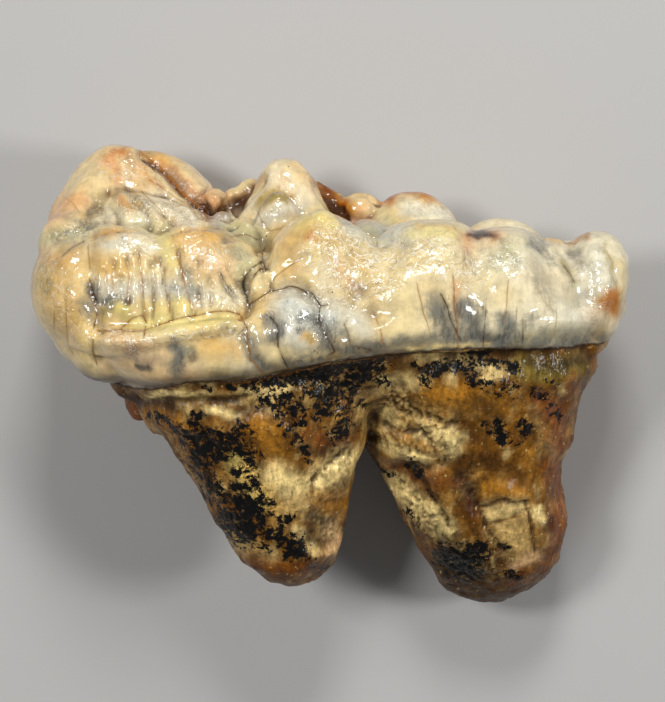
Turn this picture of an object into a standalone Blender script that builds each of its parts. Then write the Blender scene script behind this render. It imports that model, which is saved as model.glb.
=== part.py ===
"""Fossil cave bear molar: an upper second molar, one grown piece, lying on its cheek side.

The tooth is shaped upright first, in its own frame and in millimetres:
    u  along the crown, from the front end (-) to the heel (+)
    v  across the crown, from the tongue side (-) to the cheek side (+)
    w  from the root tips (-) to the cusps (+)
It is then laid down on its cheek side, with small worn flats where it touches, and scaled to metres.
"""

import math

import bmesh
import bpy
import numpy as np
from mathutils import Matrix, Vector

# Driving dimensions, in millimetres
CROWN_LENGTH = 45.0
CROWN_WIDTH = 22.4
NECK_CURVE = (1.35, 0.155, -0.0022, -0.00022)  # height of the neck line, as a cubic in u
BASIN_LEVEL = 7.0  # floor of the chewing basin
FRONT_TUCK = 6.0  # how far the front end of the crown slopes in to the neck
CHEEK_TUCK = 1.8  # and the cheek side
TUCK_SHARE = 0.7  # share of the wall's height over which that slope ends
OVAL_SQUARENESS = 2.5  # of the ovals of cusps and roots; 2 gives a true oval
CHIP_CORE = 0.75  # share of a chip's reach that is flat
CREASE_FACING = 0.5  # creases fade where the surface turns away from the eye by more than this

# The eye that the creases are drawn for: on the tongue side, a little above the neck
EYE_TILT = math.radians(14)
EYE_DISTANCE = 230.0

# How finely the surface is made
OUTLINE_STEPS = 3
OVAL_SIDES = 40
RIDGE_STEPS = 4
LOBE_SUBDIVISIONS = 4
RIDGE_SUBDIVISIONS = 3
VOXEL = 0.36
SMOOTH_STEPS = 5
MOST_TRIANGLES = 9400
SHARP_ANGLE = math.radians(50)

# How it lies
REST_DOWN = (0.064, 0.967, -0.246)  # the direction in the tooth's frame that points at the table
FLAT_DEPTH = 0.25  # how deep the flats it rests on are worn
TO_METRES = 0.001

# The widest outline of the crown, as shares of half its length and half its width, from the front end
# along the tongue side to the heel and back along the cheek side
OUTLINE = (
    (-1.000, 0.02), (-0.965, -0.38), (-0.830, -0.72), (-0.620, -0.90), (-0.400, -0.96),
    (-0.200, -0.92), (-0.040, -0.94), (0.140, -0.87), (0.350, -0.82), (0.570, -0.74),
    (0.780, -0.60), (0.925, -0.34), (0.990, 0.02), (0.950, 0.30), (0.780, 0.53),
    (0.540, 0.66), (0.320, 0.77), (0.110, 0.86), (-0.090, 0.97), (-0.270, 0.94),
    (-0.440, 1.03), (-0.660, 1.05), (-0.860, 0.86), (-0.975, 0.46),
)

# Skin of the root trunk: (depth below the neck, inset), both in mm, from the fork of the roots up
TRUNK_PROFILE = ((5.0, 4.8), (3.6, 3.3), (2.2, 2.4), (1.0, 1.9), (0.3, 1.4))
# Skin of the crown wall: (share of the height from the neck to the basin, inset in mm)
WALL_PROFILE = (
    (0.01, 0.8), (0.10, 0.35), (0.22, 0.05), (0.36, 0.0),
    (0.52, 0.35), (0.70, 1.1), (0.86, 2.2), (1.00, 3.6),
)

# Cusps and lobes of the crown, as stacked ovals: (w, centre u, centre v, half length, half width)
CUSPS = {
    "outer_cusp": (
        (-0.5, -14.2, 2.6, 4.4, 4.6), (1.2, -14.8, 3.8, 5.8, 5.9), (3.2, -15.2, 4.4, 6.4, 6.7),
        (5.4, -15.4, 4.7, 6.3, 7.0), (7.5, -15.6, 4.8, 5.7, 6.1), (10.0, -15.9, 5.0, 4.5, 4.6),
        (12.2, -16.1, 5.3, 3.0, 3.0), (13.6, -16.2, 5.5, 1.7, 1.8), (14.4, -16.2, 5.6, 0.7, 0.7),
    ),
    "outer_cusp_back": (
        (0.0, -11.4, 3.4, 3.6, 4.2), (1.8, -11.5, 4.4, 4.3, 5.4), (3.6, -11.6, 4.9, 4.6, 6.1),
        (6.0, -11.6, 5.2, 4.5, 6.0), (9.0, -11.8, 5.9, 3.9, 4.7), (11.2, -12.1, 6.8, 3.1, 3.1),
        (12.3, -12.4, 7.3, 2.0, 1.9), (12.8, -12.7, 7.5, 0.9, 0.9),
    ),
    "inner_cusp_front": (
        (2.0, -15.2, -3.0, 4.6, 6.2), (5.0, -15.2, -2.9, 4.3, 6.0), (8.0, -15.1, -2.8, 3.9, 5.2),
        (9.6, -15.0, -2.9, 3.3, 4.1), (10.4, -14.9, -3.3, 2.5, 2.7), (10.7, -14.8, -3.7, 1.6, 1.4),
    ),
    "inner_cusp_back": (
        (2.0, -9.4, -3.0, 4.8, 6.4), (5.0, -9.4, -2.9, 4.5, 6.2), (8.0, -9.4, -2.8, 4.1, 5.4),
        (9.6, -9.4, -2.9, 3.4, 4.3), (10.5, -9.3, -3.3, 2.5, 2.8), (10.8, -9.2, -3.7, 1.5, 1.4),
    ),
    "second_outer_cusp": (
        (-0.5, -3.4, 4.0, 3.9, 3.6), (1.4, -3.4, 4.9, 4.7, 5.0), (3.4, -3.4, 5.4, 5.1, 5.7),
        (5.4, -3.4, 5.6, 4.9, 5.8), (7.5, -3.4, 5.9, 4.5, 4.6), (9.5, -3.5, 6.1, 3.5, 3.4),
        (11.3, -3.5, 6.1, 2.3, 2.2), (12.6, -3.6, 6.0, 1.4, 1.3), (13.4, -3.6, 6.0, 0.6, 0.6),
    ),
    "second_inner_cusp": (
        (2.0, -0.6, -3.2, 6.2, 6.2), (5.0, -0.6, -3.4, 5.6, 5.8), (7.5, -0.7, -3.6, 4.9, 4.9),
        (9.3, -0.8, -3.9, 3.7, 3.7), (10.6, -0.9, -4.2, 2.2, 2.2), (11.4, -1.0, -4.4, 0.9, 0.9),
    ),
    "outer_ridge": (
        (0.5, 6.2, 2.8, 3.6, 3.6), (2.4, 6.2, 3.6, 4.3, 4.7), (4.2, 6.2, 4.2, 4.6, 5.4),
        (5.8, 6.2, 4.4, 4.4, 5.1), (7.5, 6.2, 5.0, 4.0, 4.0), (9.4, 6.1, 5.6, 3.0, 2.7),
        (10.5, 6.0, 5.9, 1.8, 1.4), (10.9, 6.0, 6.0, 0.9, 0.6),
    ),
    "slope_facet": (
        (5.0, -12.6, 0.0, 7.0, 5.0), (8.5, -12.8, 0.2, 6.0, 4.2), (10.2, -13.6, 0.6, 4.2, 3.2),
        (11.3, -14.8, 0.9, 2.2, 2.0), (11.9, -15.4, 1.2, 0.9, 1.0),
    ),
    "heel_lobe_1": (
        (2.0, 7.2, -2.4, 6.0, 6.7), (5.0, 7.2, -2.5, 5.6, 6.6), (7.5, 7.2, -2.7, 5.0, 5.6),
        (9.2, 7.2, -3.1, 3.8, 4.1), (10.2, 7.2, -3.5, 2.6, 2.6), (10.6, 7.2, -3.8, 1.4, 1.3),
    ),
    "heel_lobe_2": (
        (2.0, 12.6, -1.8, 4.8, 6.3), (5.0, 12.6, -1.9, 4.5, 6.2), (7.2, 12.6, -2.1, 3.9, 5.1),
        (8.7, 12.6, -2.5, 3.0, 3.6), (9.6, 12.6, -2.8, 1.9, 2.1), (9.9, 12.6, -3.0, 1.0, 1.0),
    ),
    "heel_lobe_3": (
        (2.0, 16.2, -1.0, 3.4, 4.8), (5.0, 16.2, -1.1, 3.1, 4.6), (7.0, 16.1, -1.3, 2.7, 3.8),
        (8.2, 16.0, -1.6, 1.9, 2.6), (8.8, 15.8, -1.8, 1.0, 1.2),
    ),
    "heel_tip": (
        (2.5, 19.2, -0.2, 2.7, 4.6), (5.5, 19.3, -0.2, 2.8, 4.6), (7.4, 19.4, -0.3, 2.5, 3.8),
        (8.5, 19.6, -0.5, 1.7, 2.5), (9.1, 19.7, -0.6, 0.9, 1.1),
    ),
}

# Rounded swellings of the crown: centre (u, v, w) and radii
LOBES = {
    "front_lobe": ((-18.2, -1.6, 5.2), (4.1, 6.4, 4.5)),
    "base_swelling": ((-2.2, -6.5, 3.4), (4.5, 4.4, 3.5)),
    "valley_floor": ((-7.4, 3.4, 5.8), (6.0, 6.4, 3.5)),
    "far_rim": ((12.8, 4.6, 5.5), (3.9, 2.8, 3.7)),
    "far_heel": ((18.0, 2.4, 4.7), (3.2, 3.2, 3.2)),
}

# Ridges, as round bars that thicken and thin along their length: (u, v, w, radius)
RIDGES = {
    "front_crest": (
        (-16.2, 5.4, 13.5, 0.8), (-17.3, 3.2, 11.8, 1.3), (-18.8, 0.6, 9.4, 1.7), (-19.2, -2.2, 8.0, 1.7),
    ),
    "inner_rim": (
        (-5.0, -5.4, 5.4, 3.3), (0.0, -5.6, 5.5, 3.4), (5.0, -5.5, 5.7, 3.4), (10.0, -4.8, 5.7, 3.3),
        (15.0, -3.4, 5.5, 3.0), (19.0, -1.4, 5.3, 2.6),
    ),
    "outer_rim": (
        (-16.0, 6.0, 5.0, 3.5), (-9.0, 7.0, 6.2, 3.6), (-3.0, 6.7, 5.8, 3.5), (3.0, 6.0, 5.5, 3.3),
        (9.0, 4.5, 5.3, 3.1), (15.0, 2.9, 5.0, 2.9), (18.5, 1.4, 4.9, 2.7),
    ),
    "inner_crest": (
        (-18.4, -3.6, 8.2, 1.5), (-15.8, -5.2, 9.4, 1.5), (-12.4, -5.6, 9.4, 1.5), (-8.8, -5.2, 9.5, 1.5),
        (-6.4, -4.4, 8.4, 1.3),
    ),
    "ledge": (
        (-19.6, -5.6, 2.6, 1.3), (-17.0, -8.0, 2.9, 1.5), (-13.0, -8.8, 3.4, 1.6), (-8.0, -8.8, 4.0, 1.6),
        (-5.8, -8.4, 4.4, 1.3),
    ),
}

# Small swellings in the basin and between the cusps: centre and radii
TUBERCLES = {
    "olive": ((-4.0, 0.4, 8.9), (1.9, 1.8, 2.2)),
    "valley": ((-6.4, -1.3, 8.2), (1.6, 1.5, 1.7)),
    "valley_pearl": ((-7.8, 1.2, 9.0), (0.9, 0.9, 0.9)),
    "round_bead": ((-9.0, 4.9, 9.5), (1.0, 1.0, 1.0)),
    "shoulder_front": ((-7.6, 8.0, 9.7), (1.0, 1.4, 1.2)),
    "shoulder_back": ((-6.2, 8.0, 10.4), (1.2, 1.4, 1.2)),
    "amber_bead": ((1.9, 6.2, 8.8), (1.35, 1.4, 1.2)),
    "amber_bead_small": ((3.5, 6.0, 8.7), (0.8, 0.9, 0.8)),
    "basin_front": ((2.6, 1.0, 8.0), (1.6, 1.6, 1.4)),
    "basin_middle": ((5.4, 0.3, 7.7), (2.1, 1.8, 1.5)),
    "basin_back": ((10.2, 0.6, 7.2), (2.2, 1.7, 1.5)),
    "basin_heel": ((14.6, 0.4, 6.6), (2.0, 1.6, 1.5)),
    "wedge_bead": ((-5.1, -7.3, 7.2), (1.0, 0.9, 1.2)),
}

# Roots, as stacked ovals in the same way, the last one broken off short
ROOTS = {
    "inner_root": (
        (3.0, -6.8, -2.2, 8.6, 5.6), (-0.5, -6.6, -2.3, 9.4, 6.6), (-3.0, -5.7, -2.4, 8.7, 6.3),
        (-5.0, -5.1, -2.7, 7.7, 5.9), (-6.4, -4.8, -2.8, 7.2, 5.6), (-7.8, -4.6, -3.0, 6.3, 5.3),
        (-12.0, -3.8, -3.6, 4.9, 4.2), (-15.0, -3.3, -3.9, 3.5, 3.2), (-16.4, -3.0, -4.0, 2.1, 2.0),
        (-16.9, -2.9, -4.0, 1.0, 0.9),
    ),
    "back_root": (
        (3.0, 10.6, -0.4, 8.0, 5.8), (-0.5, 10.3, -0.2, 8.9, 6.7), (-4.0, 10.2, 0.1, 8.5, 6.5),
        (-6.4, 10.1, 0.1, 8.0, 6.2), (-8.5, 10.3, 0.1, 7.0, 5.8), (-10.0, 10.6, 0.1, 6.6, 5.6),
        (-13.0, 11.6, 0.3, 6.3, 5.4), (-16.0, 12.1, 0.5, 5.2, 4.7), (-18.3, 11.9, 0.8, 3.7, 3.5),
        (-19.5, 11.7, 1.0, 1.8, 1.7),
    ),
    "outer_root_stub": (
        (2.0, -11.2, 4.2, 5.0, 5.0), (-3.0, -12.4, 5.0, 4.0, 4.2), (-5.4, -13.0, 5.2, 3.0, 3.2),
        (-6.3, -13.4, 5.1, 2.2, 2.4),
    ),
}

# Flat faces where the roots are chipped: centre, direction, reach and depth, in mm
CHIPS = {
    "inner_root_side": ((0.0, -6.6, -9.4), (0.62, -0.74, -0.26), 5.0, 0.9),
    "inner_root_end": ((-1.2, -5.0, -14.0), (0.55, -0.60, -0.58), 3.6, 0.5),
    "back_root_side": ((6.2, -4.6, -11.6), (-0.60, -0.78, -0.20), 5.0, 0.9),
    "back_root_face": ((13.6, -4.8, -13.4), (0.18, -0.97, -0.18), 3.8, 0.45),
    "back_root_end": ((9.2, -3.4, -17.2), (-0.30, -0.75, -0.58), 3.6, 0.5),
}

# Creases as the eye sees them: points (across, up) from the tooth's origin, half width and depth, in mm
CREASES = {
    "outer_cusp_groove": (
        ((-14.2, 14.7), (-12.5, 13.6), (-11.3, 12.0), (-10.0, 10.8), (-9.2, 10.0)), 0.5, 0.7,
    ),
    "slope_edge": (((-18.4, 9.9), (-17.2, 11.0), (-15.6, 12.2), (-13.8, 11.5), (-11.6, 11.3)), 0.4, 0.35),
    "inner_crest_back": (((-18.0, 8.8), (-15.6, 9.5), (-12.4, 9.3), (-8.8, 9.7), (-7.2, 9.4)), 0.4, 0.4),
    "front_lobe_edge": (
        ((-18.3, 7.9), (-18.1, 4.6), (-17.6, 2.8), (-17.9, 0.8), (-17.6, -0.5)), 0.7, 0.35,
    ),
    "ledge": (
        ((-19.0, 1.2), (-17.8, 1.7), (-15.1, 1.9), (-12.2, 2.2), (-9.2, 2.5), (-6.7, 2.9)), 0.5, 0.6,
    ),
    "ledge_end": (((-6.7, 2.9), (-6.3, 1.2), (-6.1, -0.8)), 0.4, 0.35),
    "cusp_gap": (((-5.2, 6.6), (-6.4, 5.4), (-6.7, 4.6), (-6.4, 3.8), (-6.6, 2.9)), 0.4, 0.8),
    "cusp_edge": (((-4.8, 8.6), (-5.1, 6.7), (-4.6, 5.0)), 0.4, 0.5),
    "swelling_top": (
        ((-6.6, 3.0), (-4.6, 4.4), (-3.2, 4.8), (-2.1, 4.6), (-1.0, 3.6), (-0.8, 2.5)), 0.45, 0.5,
    ),
    "lobe_gap_1": (((4.5, 7.8), (4.3, 6.1), (3.2, 4.7), (3.0, 3.5)), 0.9, 0.5),
    "lobe_gap_2": (((10.1, 8.6), (10.5, 7.5), (10.8, 6.2)), 0.8, 0.4),
    "lobe_gap_3": (((14.9, 8.7), (15.4, 7.6), (15.8, 6.0)), 0.7, 0.35),
    "lobe_gap_4": (((17.5, 8.1), (18.2, 7.0), (18.6, 5.4), (18.5, 3.8)), 0.9, 0.7),
}

TOOTH_COLOUR = (0.62, 0.47, 0.24, 1.0)
TOOTH_ROUGHNESS = 0.25


def clear_scene():
    for obj in list(bpy.data.objects):
        bpy.data.objects.remove(obj, do_unlink=True)


def between(before, start, end, after, t):
    """The point at share t from start to end on a Catmull-Rom curve."""
    return 0.5 * (
        2 * start + (end - before) * t
        + (2 * before - 5 * start + 4 * end - after) * t**2
        + (3 * start - before - 3 * end + after) * t**3
    )


def smooth_loop(points, steps):
    """A closed smooth curve through the points."""
    loop = []
    count = len(points)
    for i in range(count):
        around = [Vector(points[(i + k) % count]) for k in (-1, 0, 1, 2)]
        loop.extend(between(*around, step / steps) for step in range(steps))
    return loop


def add_rings(bm, rings):
    """Closes a stack of equal rings, lowest first, into one skin with capped ends."""
    layers = [[bm.verts.new(point) for point in ring] for ring in rings]
    count = len(layers[0])
    for lower, upper in zip(layers, layers[1:]):
        for i in range(count):
            j = (i + 1) % count
            bm.faces.new((lower[i], lower[j], upper[j], upper[i]))
    bm.faces.new(list(reversed(layers[0])))
    bm.faces.new(layers[-1])


def neck_height(u):
    return sum(factor * u**power for power, factor in enumerate(NECK_CURVE))


def add_crown_wall(bm):
    half = Vector((CROWN_LENGTH / 2, CROWN_WIDTH / 2))
    outline = smooth_loop([(a * half.x, b * half.y) for a, b in OUTLINE], OUTLINE_STEPS)
    count = len(outline)
    levels = [(0, -depth, inset) for depth, inset in TRUNK_PROFILE]
    levels += [(share, 0, inset) for share, inset in WALL_PROFILE]
    rings = []
    for share, offset, inset in levels:
        slope = max(0.0, 1 - share / TUCK_SHARE) ** 2
        ring = []
        for i, point in enumerate(outline):
            along = (outline[(i + 1) % count] - outline[i - 1]).normalized()
            inward = Vector((-along.y, along.x))
            front = fade(2 + 2 * point.x / half.x)
            cheek = fade(1 - point.y / half.y)
            tuck = slope * max(FRONT_TUCK * front, CHEEK_TUCK * cheek)
            u, v = point + inward * (inset + tuck)
            low = neck_height(u)
            ring.append((u, v, low + offset + share * (BASIN_LEVEL - low)))
        rings.append(ring)
    add_rings(bm, rings)


def add_ellipsoid(bm, centre, radii, subdivisions):
    place = Matrix.Translation(centre) @ Matrix.Diagonal((*radii, 1.0))
    bmesh.ops.create_icosphere(bm, subdivisions=subdivisions, radius=1.0, matrix=place)


def oval(angle):
    """A point on a slightly squared circle of radius 1."""
    cosine, sine = math.cos(angle), math.sin(angle)
    power = 2 / OVAL_SQUARENESS
    return math.copysign(abs(cosine) ** power, cosine), math.copysign(abs(sine) ** power, sine)


def add_stack(bm, sections):
    """One skin through stacked ovals, listed from either end."""
    corners = [oval(math.tau * i / OVAL_SIDES) for i in range(OVAL_SIDES)]
    rings = []
    for w, u, v, half_length, half_width in sorted(sections):
        rings.append([(u + half_length * x, v + half_width * y, w) for x, y in corners])
    add_rings(bm, rings)


def add_ridge(bm, stations):
    """A bar with round ends that follows a smooth curve through its stations."""
    ends = [2 * Vector(stations[0]) - Vector(stations[1]), 2 * Vector(stations[-1]) - Vector(stations[-2])]
    held = [ends[0], *map(Vector, stations), ends[1]]
    path = []
    for i in range(1, len(held) - 2):
        for step in range(RIDGE_STEPS):
            path.append(between(*held[i - 1:i + 3], step / RIDGE_STEPS))
    path.append(held[-2])
    for station in path:
        add_ellipsoid(bm, station.xyz, [station.w] * 3, RIDGE_SUBDIVISIONS)


def new_object(name, bm):
    mesh = bpy.data.meshes.new(name)
    bm.to_mesh(mesh)
    bm.free()
    obj = bpy.data.objects.new(name, mesh)
    bpy.context.scene.collection.objects.link(obj)
    return obj


def bake_modifiers(obj):
    """Gives the object the mesh that its modifiers make."""
    graph = bpy.context.evaluated_depsgraph_get()
    graph.update()
    mesh = bpy.data.meshes.new_from_object(obj.evaluated_get(graph))
    obj.modifiers.clear()
    obj.data = mesh


def fuse(obj):
    """Makes one skin of the overlapping lobes and roots, and softens where they meet."""
    remesh = obj.modifiers.new("one_skin", "REMESH")
    remesh.mode = "VOXEL"
    remesh.voxel_size = VOXEL
    smooth = obj.modifiers.new("soften", "SMOOTH")
    smooth.iterations = SMOOTH_STEPS
    bake_modifiers(obj)


def read_points(mesh):
    points = np.empty(len(mesh.vertices) * 3)
    mesh.vertices.foreach_get("co", points)
    normals = np.empty(len(mesh.vertices) * 3)
    mesh.vertices.foreach_get("normal", normals)
    return points.reshape(-1, 3), normals.reshape(-1, 3)


def fade(share):
    """1 at 0, falling smoothly to 0 at 1."""
    share = np.clip(share, 0, 1)
    return 1 - share * share * (3 - 2 * share)


def distance_to_line(points, line):
    nearest = np.full(len(points), 1e9)
    for start, end in zip(line, line[1:]):
        start, step = np.array(start), np.subtract(end, start)
        along = np.clip((points - start) @ step / (step @ step), 0, 1)
        gap = points - start - along[:, None] * step
        nearest = np.minimum(nearest, np.linalg.norm(gap, axis=1))
    return nearest


def as_seen(points):
    """Where the points appear to the eye, across and up from the origin, on a plane through it."""
    back = points @ (0, math.cos(EYE_TILT), -math.sin(EYE_TILT))
    up = points @ (0, math.sin(EYE_TILT), math.cos(EYE_TILT))
    return np.column_stack((points[:, 0], up)) * (EYE_DISTANCE / (EYE_DISTANCE + back))[:, None]


def chip(points):
    for centre, direction, reach, depth in CHIPS.values():
        direction = np.array(direction) / np.linalg.norm(direction)
        share = np.linalg.norm(points - centre, axis=1) / reach
        height = points @ direction
        plane = height[share < 1].max() - depth
        excess = np.maximum(height - plane, 0) * fade((share - CHIP_CORE) / (1 - CHIP_CORE))
        points -= np.outer(excess, direction)


def carve(points, normals):
    to_eye = (0, -math.cos(EYE_TILT), math.sin(EYE_TILT))
    facing = 1 - fade(normals @ to_eye / CREASE_FACING)
    seen = as_seen(points)
    depth = np.zeros(len(points))
    for line, half_width, most in CREASES.values():
        depth += most * fade(distance_to_line(seen, line) / (2 * half_width)) * facing
    points -= normals * depth[:, None]


def shape_surface(obj):
    points, normals = read_points(obj.data)
    chip(points)
    carve(points, normals)
    obj.data.vertices.foreach_set("co", points.ravel())
    obj.data.update()


def thin_out(obj):
    triangles = sum(len(face.vertices) - 2 for face in obj.data.polygons)
    fewer = obj.modifiers.new("fewer_faces", "DECIMATE")
    fewer.ratio = MOST_TRIANGLES / triangles
    fewer.use_collapse_triangulate = True
    bake_modifiers(obj)


def rest_turn():
    """Turns the upright tooth so that REST_DOWN points at the table and u stays along X."""
    up = -Vector(REST_DOWN).normalized()
    along = Vector((1, 0, 0))
    along = (along - along.dot(up) * up).normalized()
    return Matrix((along, up.cross(along), up)).to_4x4()


def lay_down(obj):
    """Wears the flats it rests on, then lays the tooth down with them at z = 0, centred."""
    turn = rest_turn()
    up = -Vector(REST_DOWN).normalized()
    bm = bmesh.new()
    bm.from_mesh(obj.data)
    lowest = min(vert.co.dot(up) for vert in bm.verts) + FLAT_DEPTH
    bmesh.ops.bisect_plane(
        bm, geom=bm.verts[:] + bm.edges[:] + bm.faces[:], dist=1e-4,
        plane_co=up * lowest, plane_no=up, clear_inner=True,
    )
    rims = [edge for edge in bm.edges if edge.is_boundary]
    bmesh.ops.holes_fill(bm, edges=rims, sides=0)
    bmesh.ops.recalc_face_normals(bm, faces=bm.faces[:])
    laid = [turn @ vert.co for vert in bm.verts]
    middle_x, middle_y = ((min(p[k] for p in laid) + max(p[k] for p in laid)) / 2 for k in (0, 1))
    bm.transform(Matrix.Scale(TO_METRES, 4))
    bm.to_mesh(obj.data)
    bm.free()
    obj.rotation_euler = turn.to_euler()
    obj.location = Vector((-middle_x, -middle_y, -lowest)) * TO_METRES


def finish_surface(obj):
    material = bpy.data.materials.new("tooth")
    material.use_nodes = True
    shader = material.node_tree.nodes["Principled BSDF"]
    shader.inputs["Base Color"].default_value = TOOTH_COLOUR
    shader.inputs["Roughness"].default_value = TOOTH_ROUGHNESS
    obj.data.materials.clear()
    obj.data.materials.append(material)
    obj.data.shade_smooth()
    obj.data.set_sharp_from_angle(angle=SHARP_ANGLE)


def build_tooth():
    bm = bmesh.new()
    add_crown_wall(bm)
    for centre, radii in (*LOBES.values(), *TUBERCLES.values()):
        add_ellipsoid(bm, centre, radii, LOBE_SUBDIVISIONS)
    for stations in RIDGES.values():
        add_ridge(bm, stations)
    for sections in (*CUSPS.values(), *ROOTS.values()):
        add_stack(bm, sections)
    tooth = new_object("tooth", bm)
    fuse(tooth)
    shape_surface(tooth)
    thin_out(tooth)
    lay_down(tooth)
    finish_surface(tooth)
    return tooth


clear_scene()
build_tooth()
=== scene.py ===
# Fossil cave bear tooth: an upper second molar that lies on its cheek side, seen from its tongue side.
# It is shaped upright in millimetres, u along the crown, v from the tongue side to the cheek side and w up
# to the cusps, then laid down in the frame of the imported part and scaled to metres.
import math

import bmesh
import bpy
import numpy as np
from mathutils import Matrix, Vector


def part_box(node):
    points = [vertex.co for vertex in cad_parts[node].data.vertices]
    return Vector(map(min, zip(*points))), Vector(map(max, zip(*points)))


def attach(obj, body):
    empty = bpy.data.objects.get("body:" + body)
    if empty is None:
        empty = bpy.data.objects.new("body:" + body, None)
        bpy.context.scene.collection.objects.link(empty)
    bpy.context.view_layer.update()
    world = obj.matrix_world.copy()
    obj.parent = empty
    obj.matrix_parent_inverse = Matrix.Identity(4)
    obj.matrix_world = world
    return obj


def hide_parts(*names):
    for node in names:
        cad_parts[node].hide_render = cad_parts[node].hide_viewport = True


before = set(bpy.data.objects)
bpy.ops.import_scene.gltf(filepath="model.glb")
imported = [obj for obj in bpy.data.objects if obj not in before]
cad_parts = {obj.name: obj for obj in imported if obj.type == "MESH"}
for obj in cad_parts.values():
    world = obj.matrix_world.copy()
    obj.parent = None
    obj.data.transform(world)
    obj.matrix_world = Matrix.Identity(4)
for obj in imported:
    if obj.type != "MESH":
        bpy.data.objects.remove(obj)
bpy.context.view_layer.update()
print("frame loaded")

millimetre = 0.001

# How the picture sees the tooth: from its tongue side, a little above the neck.
# Marks are placed in pixels of the 665 x 702 picture, from its top left corner.
picture = {
    "toothOrigin": (332.5, 351.0),
    "pixelsPerMm": 13.37,
    "longSide": 702,
    "tilt": math.radians(14),
    "distance": 230.0,
    "sensorWidth": 36.0,
    "nearClip": 0.01,
    "crestRow": 236,  # marks that reach below this row are on the tongue wall
}

# The form of the tooth in mm, close to that of the solid part
toothForm = {
    "crownLength": 45.0,
    "crownWidth": 22.4,
    "neckCurve": (1.35, 0.155, -0.0022, -0.00022),
    "basinLevel": 7.0,
    "frontTuck": 6.0,
    "cheekTuck": 1.8,
    "heelTuck": 0.9,
    "tuckShare": 0.7,
    "ovalSquareness": 2.5,
    "chipCore": 0.75,
    "wallEdge": -0.5,  # v where the tongue wall ends, and how far its marks fade past it
    "wallFade": 2.5,
    "neckSeen": -6.0,  # v up to which the picture shows the neck, and the blend past it
    "neckBlend": 5.0,
    "restDown": (0.064, 0.967, -0.246),
    "flatDepth": 0.25,
    "cutTolerance": 1e-4,
    "outlineSteps": 3,
    "crestSteps": 6,
    "beadSpacing": 0.4,
    "beadDetail": 4,
    "stackSides": 56,
    "voxel": 0.232,
    "smoothSteps": 5,
}

outline = (
    (-1.000, 0.02), (-0.965, -0.38), (-0.830, -0.72), (-0.620, -0.90), (-0.400, -0.96),
    (-0.200, -0.92), (-0.040, -0.94), (0.140, -0.87), (0.350, -0.82), (0.570, -0.74),
    (0.780, -0.60), (0.925, -0.34), (0.990, 0.02), (0.950, 0.30), (0.780, 0.53),
    (0.540, 0.66), (0.320, 0.77), (0.110, 0.86), (-0.090, 0.97), (-0.270, 0.94),
    (-0.440, 1.03), (-0.660, 1.05), (-0.860, 0.86), (-0.975, 0.46),
)

# Depth below the neck and inset, then share of the height from neck to basin and inset
trunkProfile = ((5.0, 4.8), (3.6, 3.3), (2.2, 2.4), (1.0, 1.9), (0.3, 1.4))
wallProfile = (
    (0.01, 0.8), (0.10, 0.35), (0.22, 0.05), (0.36, 0.0),
    (0.52, 0.35), (0.70, 1.1), (0.86, 2.2), (1.00, 3.6),
)

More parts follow.
